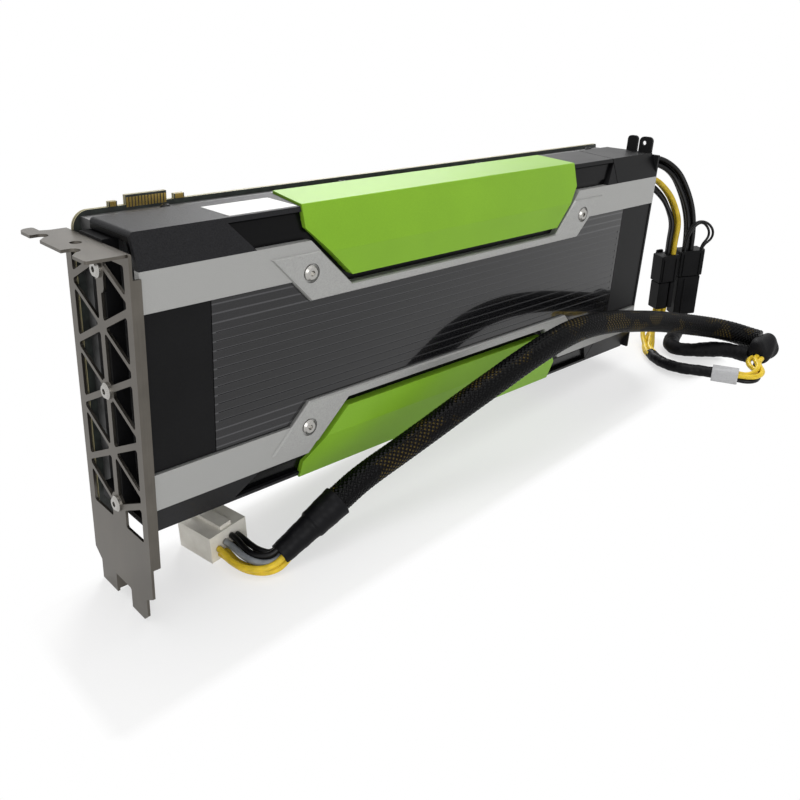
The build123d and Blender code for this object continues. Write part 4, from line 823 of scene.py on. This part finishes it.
class CardSettings(bpy.types.PropertyGroup):
    """Sizes and colours that a user of the card may change"""

    sleeve_width: bpy.props.FloatProperty(
        name="Sleeve Width",
        description="Diameter of the braided sleeve",
        default=0.01,
        min=0.006,
        max=0.014,
        unit="LENGTH",
    )
    wire_width: bpy.props.FloatProperty(
        name="Wire Width",
        description="Diameter of one power wire",
        default=0.0023,
        min=0.001,
        max=0.003,
        unit="LENGTH",
    )
    weave_relief: bpy.props.FloatProperty(
        name="Weave Relief",
        description="Height of the sleeve's strands over its gaps",
        default=0.0004,
        min=0.0,
        max=0.001,
        unit="LENGTH",
    )
    crease: bpy.props.FloatProperty(
        name="Crease",
        description="Height of the creases in tape and shrink film",
        default=0.00025,
        min=0.0,
        max=0.001,
        unit="LENGTH",
    )
    accent: bpy.props.FloatVectorProperty(
        name="Accent Colour",
        description="Paint of the two accents",
        default=rgb(126, 172, 44),
        min=0.0,
        max=1.0,
        subtype="COLOR",
    )
    silver: bpy.props.FloatVectorProperty(
        name="Rail Colour",
        description="Paint of the two rails",
        default=rgb(160, 160, 158),
        min=0.0,
        max=1.0,
        subtype="COLOR",
    )
    steel: bpy.props.FloatVectorProperty(
        name="Bracket Colour",
        description="Plating of the slot bracket",
        default=rgb(98, 94, 88),
        min=0.0,
        max=1.0,
        subtype="COLOR",
    )
    yellow: bpy.props.FloatVectorProperty(
        name="Yellow Wire",
        description="Insulation of the yellow wires",
        default=rgb(240, 206, 56),
        min=0.0,
        max=1.0,
        subtype="COLOR",
    )
    air: bpy.props.FloatProperty(
        name="Surrounding Light",
        description="Strength of the light from all sides",
        default=0.28,
        min=0.0,
        max=2.0,
    )
    lamps: bpy.props.FloatProperty(
        name="Lamp Level",
        description="Factor on the power of all lamps",
        default=1.0,
        min=0.0,
        max=4.0,
    )


class CARD_OT_dress_metal(bpy.types.Operator):
    """Finishes of the slot bracket, the screws, the plates and the heat sink"""

    bl_idname = "card.dress_metal"
    bl_label = "Dress Metal Pieces"

    def execute(self, context):
        settings = context.scene.card_settings
        dress(bracket_steel(settings.steel), "io_bracket")
        screw = plain_metal("screw steel", rgb(178, 176, 172), 0.2)
        dress(screw, "bracket_screws", "rail_screws", "retention_spring")
        dark = satin_black("dark screw", 22, 36, 0.3)
        dress(dark, "edge_screws", "backplate_screws")
        dress(plain_metal("cast plate", rgb(112, 112, 112), 0.45, 1.2), "base_plate")
        dress(plain_metal("fins", rgb(176, 176, 178), 0.3), "heatsink_fins", "heatsink_base")
        dress(plain_metal("gold", rgb(206, 176, 98), 0.22), "edge_contacts", "bridge_contacts")
        return {"FINISHED"}


class CARD_OT_dress_shroud(bpy.types.Operator):
    """Finishes of the shroud, its covers, rails, accents and panels"""

    bl_idname = "card.dress_shroud"
    bl_label = "Dress Shroud"

    def execute(self, context):
        settings = context.scene.card_settings
        dress(rail_silver(settings.silver), "upper_rail", "lower_rail")
        dress(accent_paint(settings.accent), "upper_accent", "lower_accent")
        dress(textured_black(), "front_cap_upper", "front_cap_lower")
        smooth = satin_black("satin black", 9, 18, 0.3)
        dress(smooth, "rear_trim_upper", "rear_trim_lower", "rear_cap_upper", "rear_cap_lower")
        dress(satin_black("gloss black", 4, 9, 0.12), "shroud_shell")
        dress(satin_black("rear black", 12, 22, 0.3), "rear_panel")
        dress(satin_black("panel black", 12, 22, 0.42), "name_panel")
        dress(lined_gloss(), "lined_panel")
        dress(satin_black("frame black", 10, 20, 0.4), "bracket_post")
        dress(satin_black("plate black", 20, 32, 0.4), "rear_bracket", "backplate")
        dress(label_paper("label paper", rgb(196, 196, 194), rgb(214, 214, 212)), "sticker")
        return {"FINISHED"}


class CARD_OT_dress_board(bpy.types.Operator):
    """Finishes of the board, the parts on it and the plugs"""

    bl_idname = "card.dress_board"
    bl_label = "Dress Board"

    def execute(self, context):
        dress(board_layers(), "board")
        moulded = nylon("black nylon", rgb(3, 3, 4), rgb(10, 10, 12))
        dress(moulded, "power_socket", "power_plug")
        dress(satin_black("moulded black", 18, 30, 0.38), "mosfets", "inductors")
        dress(plain_metal("capacitor can", rgb(190, 190, 188), 0.25), "capacitors")
        dress(satin_black("substrate", 30, 44, 0.4), "gpu_substrate")
        dress(plain_metal("silicon", rgb(110, 112, 122), 0.12), "gpu_die", "memory_stacks")
        dress(satin_black("thermal pad", 130, 150, 0.6), "thermal_pads")
        dress(nylon("white nylon", rgb(226, 222, 212), rgb(242, 239, 230)), "board_connector")
        return {"FINISHED"}


class CARD_OT_add_main_cable(bpy.types.Operator):
    """Braided sleeve, its shrink film and the loose wires that run into the white plug"""

    bl_idname = "card.add_main_cable"
    bl_label = "Add Main Cable"

    def execute(self, context):
        settings = context.scene.card_settings
        width, wire, crease = settings.sleeve_width, settings.wire_width / 2, settings.crease
        whole = smooth_line(at(SLEEVE_ROUTE + SHRINK_ROUTE + CONNECTOR_ROUTE), 1050, "main_cable")
        share = np.linspace(0.0, 1.0, len(whole))
        sleeve_end = int(share.searchsorted(SLEEVE_SHARE))
        film_end = int(share.searchsorted(FILM_SHARE))
        braid = woven_tube(whole[: sleeve_end + 15], width / 2, settings.weave_relief)
        film_line = whole[sleeve_end - 20 : film_end + 1]
        # The film narrows evenly from the sleeve to the wires, with a small step near its middle
        part = np.linspace(1.0, 0.0, len(film_line))
        step = swell(part, 0.52, 0.56) * FILM_STEP
        film = creased_tube(film_line, FILM_RADIUS + FILM_TAPER * part + step, crease * 0.35, 48)
        loose = whole[film_end - 30 :: 3]
        grids = [braid, film] + wires(loose, CONNECTOR_WIRES, wire, 0.0004)
        jackets = [
            braid_mesh(),
            shrink_film(),
            wire_jacket("yellow wire", shaded(settings.yellow, 0.72), tuple(settings.yellow)),
            wire_jacket("black wire", rgb(3, 3, 4), rgb(10, 10, 12)),
            wire_jacket("grey wire", rgb(118, 122, 126), rgb(146, 150, 154)),
        ]
        piece = grid_piece("main_cable", grids, jackets, [0, 1, 2, 2, 2, 3, 3, 3, 4])
        shown = ("sleeve", "shrink_tube", "connector_wires")
        declare(shown)
        return {"FINISHED"}


class CARD_OT_add_pigtails(bpy.types.Operator):
    """Wires from the card's plug to the two housings, with the loop of thin wires"""

    bl_idname = "card.add_pigtails"
    bl_label = "Add Pigtails"

    def execute(self, context):
        settings = context.scene.card_settings
        wire = settings.wire_width / 2
        # Painted shade: the pigtails' yellow is the wire yellow darkened to 0.45 to 0.7 of it, a shaded copy
        # of the other yellow wires
        yellow = wire_jacket("pigtail yellow painted shade", shaded(settings.yellow, 0.45), shaded(settings.yellow, 0.7))
        black = wire_jacket("pigtail black", rgb(3, 3, 4), rgb(10, 10, 12))
        line = smooth_line(at(PIGTAIL_A_ROUTE), 200, "pigtail_yellow")
        bundle = wires(line, PIGTAIL_A_WIRES, wire)
        piece = grid_piece("pigtail_yellow", bundle, [yellow, black], [0, 0, 1, 1])
        declare(("pigtail_a",))
        line = smooth_line(at(PIGTAIL_B_ROUTE), 220, "pigtail_black")
        piece = grid_piece("pigtail_black", wires(line, PIGTAIL_B_WIRES, wire), [black])
        declare(("pigtail_b",))
        line = smooth_line(at(SENSE_ROUTE), 240, "sense_loop")
        piece = grid_piece("sense_loop", wires(line, SENSE_WIRES, SENSE_RADIUS, 0.0008), [black])
        declare(("sense_wires",))
        return {"FINISHED"}


class CARD_OT_add_housings(bpy.types.Operator):
    """The two sockets and the split plugs under them, with ribs and latches"""

    bl_idname = "card.add_housings"
    bl_label = "Add Housings"

    def execute(self, context):
        moulded = nylon("housing nylon", rgb(3, 3, 4), rgb(10, 10, 12))
        deep = (0.0, HOUSING_DEPTH)
        thin = (HOUSING_STEP / 2, HOUSING_DEPTH - HOUSING_STEP / 2)

        corner, turn, width, low, joint, top = NARROW
        back_latch = (HOUSING_DEPTH - 0.3, HOUSING_DEPTH + 1.3)
        web = (SLIT[0] - 0.5, SLIT[1] + 0.5)
        sockets = [
            moulded_box(corner, turn, (0.0, width), deep, joint, top),
            moulded_box(corner, turn, (2.2, 5.8), back_latch, joint + 5.0, top + 1.1),
        ]
        sockets += ribs(NARROW, NARROW_RIBS)
        plugs = [
            moulded_box(corner, turn, (HOUSING_STEP / 2, SLIT[0]), thin, low, joint - PLUG_GAP),
            moulded_box(corner, turn, (SLIT[1], width - HOUSING_STEP / 2), thin, low, joint - PLUG_GAP),
            moulded_box(corner, turn, web, (2.0, HOUSING_DEPTH - 1.0), low + 1.0, joint - 0.4),
        ]

        corner, turn, width, low, joint, top = WIDE
        side_latch = (width - 0.3, width + 1.1)
        latch_middle = (HOUSING_DEPTH / 2 - 2.0, HOUSING_DEPTH / 2 + 2.0)
        whole = (HOUSING_STEP / 2, width - HOUSING_STEP / 2)
        sockets += [
            moulded_box(corner, turn, (0.0, width), deep, joint, top),
            moulded_box(corner, turn, side_latch, latch_middle, joint + 2.0, top),
        ]
        sockets += ribs(WIDE, WIDE_RIBS)
        plugs += [
            moulded_box(corner, turn, whole, thin, low, joint - PLUG_GAP),
            moulded_box(corner, turn, (3.6, 4.4), (0.0, 1.2), low + 1.0, joint - 1.5, SMALL_BEVEL),
        ]

        upper = grid_piece("socket_pair", sockets, [moulded], smooth=False)
        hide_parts("socket_housings")
        lower = grid_piece("plug_pair", plugs, [moulded], smooth=False)
        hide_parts("plug_housings")
        return {"FINISHED"}


class CARD_OT_add_branches(bpy.types.Operator):
    """The two branches under the housings, the label and the taped end of the sleeve"""

    bl_idname = "card.add_branches"
    bl_label = "Add Branches"

    def execute(self, context):
        settings = context.scene.card_settings
        wire, crease = settings.wire_width / 2, settings.crease
        yellow = wire_jacket("branch yellow", shaded(settings.yellow, 0.68), tuple(settings.yellow))
        black = wire_jacket("branch black", rgb(3, 3, 4), rgb(10, 10, 12))
        film = shrink_film()
        line = smooth_line(at(BRANCH_A_ROUTE), 640, "branch_yellow")
        share = np.linspace(0.0, 1.0, len(line))
        tube_start, tube_end, label_end = (int(share.searchsorted(s)) for s in BRANCH_A_SHARES)
        jacket_line = line[tube_start:label_end]
        radii = np.full(len(jacket_line), BRANCH_FILM_RADIUS)
        jacket = creased_tube(jacket_line, radii, crease * 0.5, 36, 14.0)
        crossed = [tuple(-v for v in place[2:] + place[:2]) for place in BRANCH_WIRES]
        grids = wires(line[: tube_start + 12 : 2], BRANCH_WIRES, wire, 0.0008)
        grids += [jacket] + wires(line[label_end - 12 :: 2], crossed, wire, 0.0007)
        piece = grid_piece("branch_yellow", grids, [yellow, film, black], [0, 0, 0, 0, 1, 0, 0, 0, 2])
        wrap_line = line[tube_end : label_end : 2]
        # Section of the label, a rounded rectangle: 1 / the sixth root of the sum of (|cos a| / half width)
        # and (|sin a| / half height), each to the sixth power
        angle = np.arange(64) / 64 * 2 * math.pi
        half_width, half_height = LABEL_HALF
        sides = (np.abs(np.cos(angle)) / half_width) ** 6 + (np.abs(np.sin(angle)) / half_height) ** 6
        flat = sides ** (-1 / 6)
        wrap = tube(wrap_line, np.tile(flat, (len(wrap_line), 1)), 64)
        paper = label_paper("flag paper", rgb(172, 172, 174), rgb(190, 190, 192))
        label = grid_piece("cable_flag", [wrap], [paper])
        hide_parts("cable_label")
        shown = ("branch_a_wires", "branch_a_tube", "branch_a_tail")
        declare(shown)
        line = smooth_line(at(BRANCH_B_ROUTE), 300, "branch_black")
        share = np.linspace(0.0, 1.0, len(line))
        # The tape is wound unevenly: its radius plus a fast and a slow sine along the branch
        width = BRANCH_TAPE_RADIUS + TAPE_WAVE * np.sin(share * 19.0) + TAPE_WAVE * np.sin(share * 7.0 + 1.0)
        taped = creased_tube(line, width, crease * 0.6, 44, 22.0)
        piece = grid_piece("branch_black", [taped], [cloth_tape()])
        declare(("branch_b",))
        line = smooth_line(at(TAPE_ROUTE), 90, "taped_end")
        share = np.linspace(0.0, 1.0, len(line))
        # The taped end is a knob: a radius x a dome that closes at both ends x two and three slow lobes
        angle = (np.arange(72) / 72 * 2 * math.pi)[None, :]
        dome = np.sqrt(np.clip(1.0 - (2.0 * share - 1.0) ** 6, 0.0004, 1.0))[:, None]
        lobes = 1.0 + 0.10 * np.cos(2 * angle + 0.6) + 0.07 * np.sin(3 * angle + 9.0 * share[:, None])
        knob = tube(line, KNOB_RADIUS * dome * lobes, 72)
        piece = grid_piece("taped_end", [knob], [cloth_tape()])
        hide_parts("sleeve_end_tape")
        return {"FINISHED"}


def white_seen(shader, surface, share=1.0):
    """Mixes a surface with plain white by a share, for rays from the camera, off gloss and through glass."""
    rays = shader.outlets("ShaderNodeLightPath")
    seen = rays["Is Camera Ray"].most(rays["Is Glossy Ray"]).most(rays["Is Transmission Ray"]) * share
    white = shader.node("ShaderNodeEmission", inputs={"Color": (1.0, 1.0, 1.0), "Strength": 1.0})
    return shader.node("ShaderNodeMixShader", inputs=[seen, surface, white])


class CARD_OT_build_stage(bpy.types.Operator):
    """Pale floor, white surroundings, soft lamps and the camera"""

    bl_idname = "card.build_stage"
    bl_label = "Build Stage"

    def execute(self, context):
        settings = context.scene.card_settings
        floor = bpy.data.meshes.new("floor")
        corners = [(FLOOR_REACH * x, FLOOR_REACH * y, 0) for x, y in ((-1, -1), (1, -1), (1, 1), (-1, 1))]
        floor.from_pydata(corners, [], [(0, 1, 2, 3)])
        ground = bpy.data.objects.new("floor", floor)
        context.scene.collection.objects.link(ground)
        paint = Finish("floor", Roughness=0.8, Base_Color=(0.93, 0.93, 0.93))
        spot = paint.node("ShaderNodeTexCoord", output="Object")
        x, y, _ = paint.axes(spot)
        beside = x.absolute().clamped(*SHADOW_ALONG)
        before = (y - SHADOW_MIDDLE).absolute().clamped(*SHADOW_ACROSS)
        open_share = (1.0 - (1.0 - beside) * (1.0 - before) * SHADOW_SHARE) * WHITE_GAIN
        covered = white_seen(paint, Value(paint, paint.surface.outputs[0]), open_share.least(1.0))
        paint.join(paint.tree.nodes["Material Output"].inputs["Surface"], covered)
        floor.materials.append(paint.material)

        world = bpy.data.worlds.new("surroundings")
        context.scene.world = world
        world.use_nodes = True
        sky = Shader(world.node_tree)
        air = world.node_tree.nodes["Background"]
        sky.join(air.inputs["Strength"], settings.air)
        sky.join(air.inputs["Color"], (1.0, 1.0, 1.0))
        seen = white_seen(sky, Value(sky, air.outputs[0]))
        sky.join(world.node_tree.nodes["World Output"].inputs["Surface"], seen)

        for name, spot, aim, size, power in LAMPS:
            lamp = bpy.data.lights.new(name, "AREA")
            lamp.energy = power * settings.lamps
            lamp.size = size
            lamp.specular_factor = LAMP_GLOSS
            holder = bpy.data.objects.new(name, lamp)
            direction = Vector(aim) - Vector(spot)
            turned = direction.to_track_quat("-Z", "Y").to_matrix().to_4x4()
            holder.matrix_world = Matrix.Translation(spot) @ turned
            context.scene.collection.objects.link(holder)

        lens = bpy.data.cameras.new("camera")
        lens.sensor_width = SENSOR
        lens.lens = LENS
        lens.shift_x, lens.shift_y = LENS_SHIFT
        lens.clip_start = 0.01
        lens.clip_end = 50.0
        view = bpy.data.objects.new("camera", lens)
        right = Vector(CAMERA_RIGHT).normalized()
        ahead = Vector(CAMERA_AHEAD).normalized()
        up = right.cross(ahead)
        place = Matrix((right, up, -ahead)).transposed().to_4x4()
        place.translation = at(CAMERA_PLACE)
        view.matrix_world = place
        context.scene.collection.objects.link(view)
        context.scene.camera = view
        context.scene.view_settings.view_transform = "Standard"
        return {"FINISHED"}


class CARD_PT_panel(bpy.types.Panel):
    """Buttons and settings for the card's pieces"""

    bl_idname = "CARD_PT_panel"
    bl_label = "Accelerator Card"
    bl_space_type = "VIEW_3D"
    bl_region_type = "UI"
    bl_category = "Card"

    def draw(self, context):
        for name in CardSettings.__annotations__:
            self.layout.prop(context.scene.card_settings, name)
        for operator in OPERATORS:
            self.layout.operator(operator.bl_idname)


OPERATORS = (
    CARD_OT_dress_metal,
    CARD_OT_dress_shroud,
    CARD_OT_dress_board,
    CARD_OT_add_main_cable,
    CARD_OT_add_pigtails,
    CARD_OT_add_housings,
    CARD_OT_add_branches,
    CARD_OT_build_stage,
)
CLASSES = (CardSettings,) + OPERATORS + (CARD_PT_panel,)


def register():
    for item in CLASSES:
        bpy.utils.register_class(item)
    bpy.types.Scene.card_settings = bpy.props.PointerProperty(type=CardSettings)


def unregister():
    del bpy.types.Scene.card_settings
    for item in reversed(CLASSES):
        bpy.utils.unregister_class(item)


def main():
    register()
    bpy.ops.card.dress_metal()
    bpy.ops.card.dress_shroud()
    bpy.ops.card.dress_board()
    bpy.ops.card.add_main_cable()
    bpy.ops.card.add_pigtails()
    bpy.ops.card.add_housings()
    bpy.ops.card.add_branches()
    bpy.ops.card.build_stage()


if __name__ == "__main__":
    main()
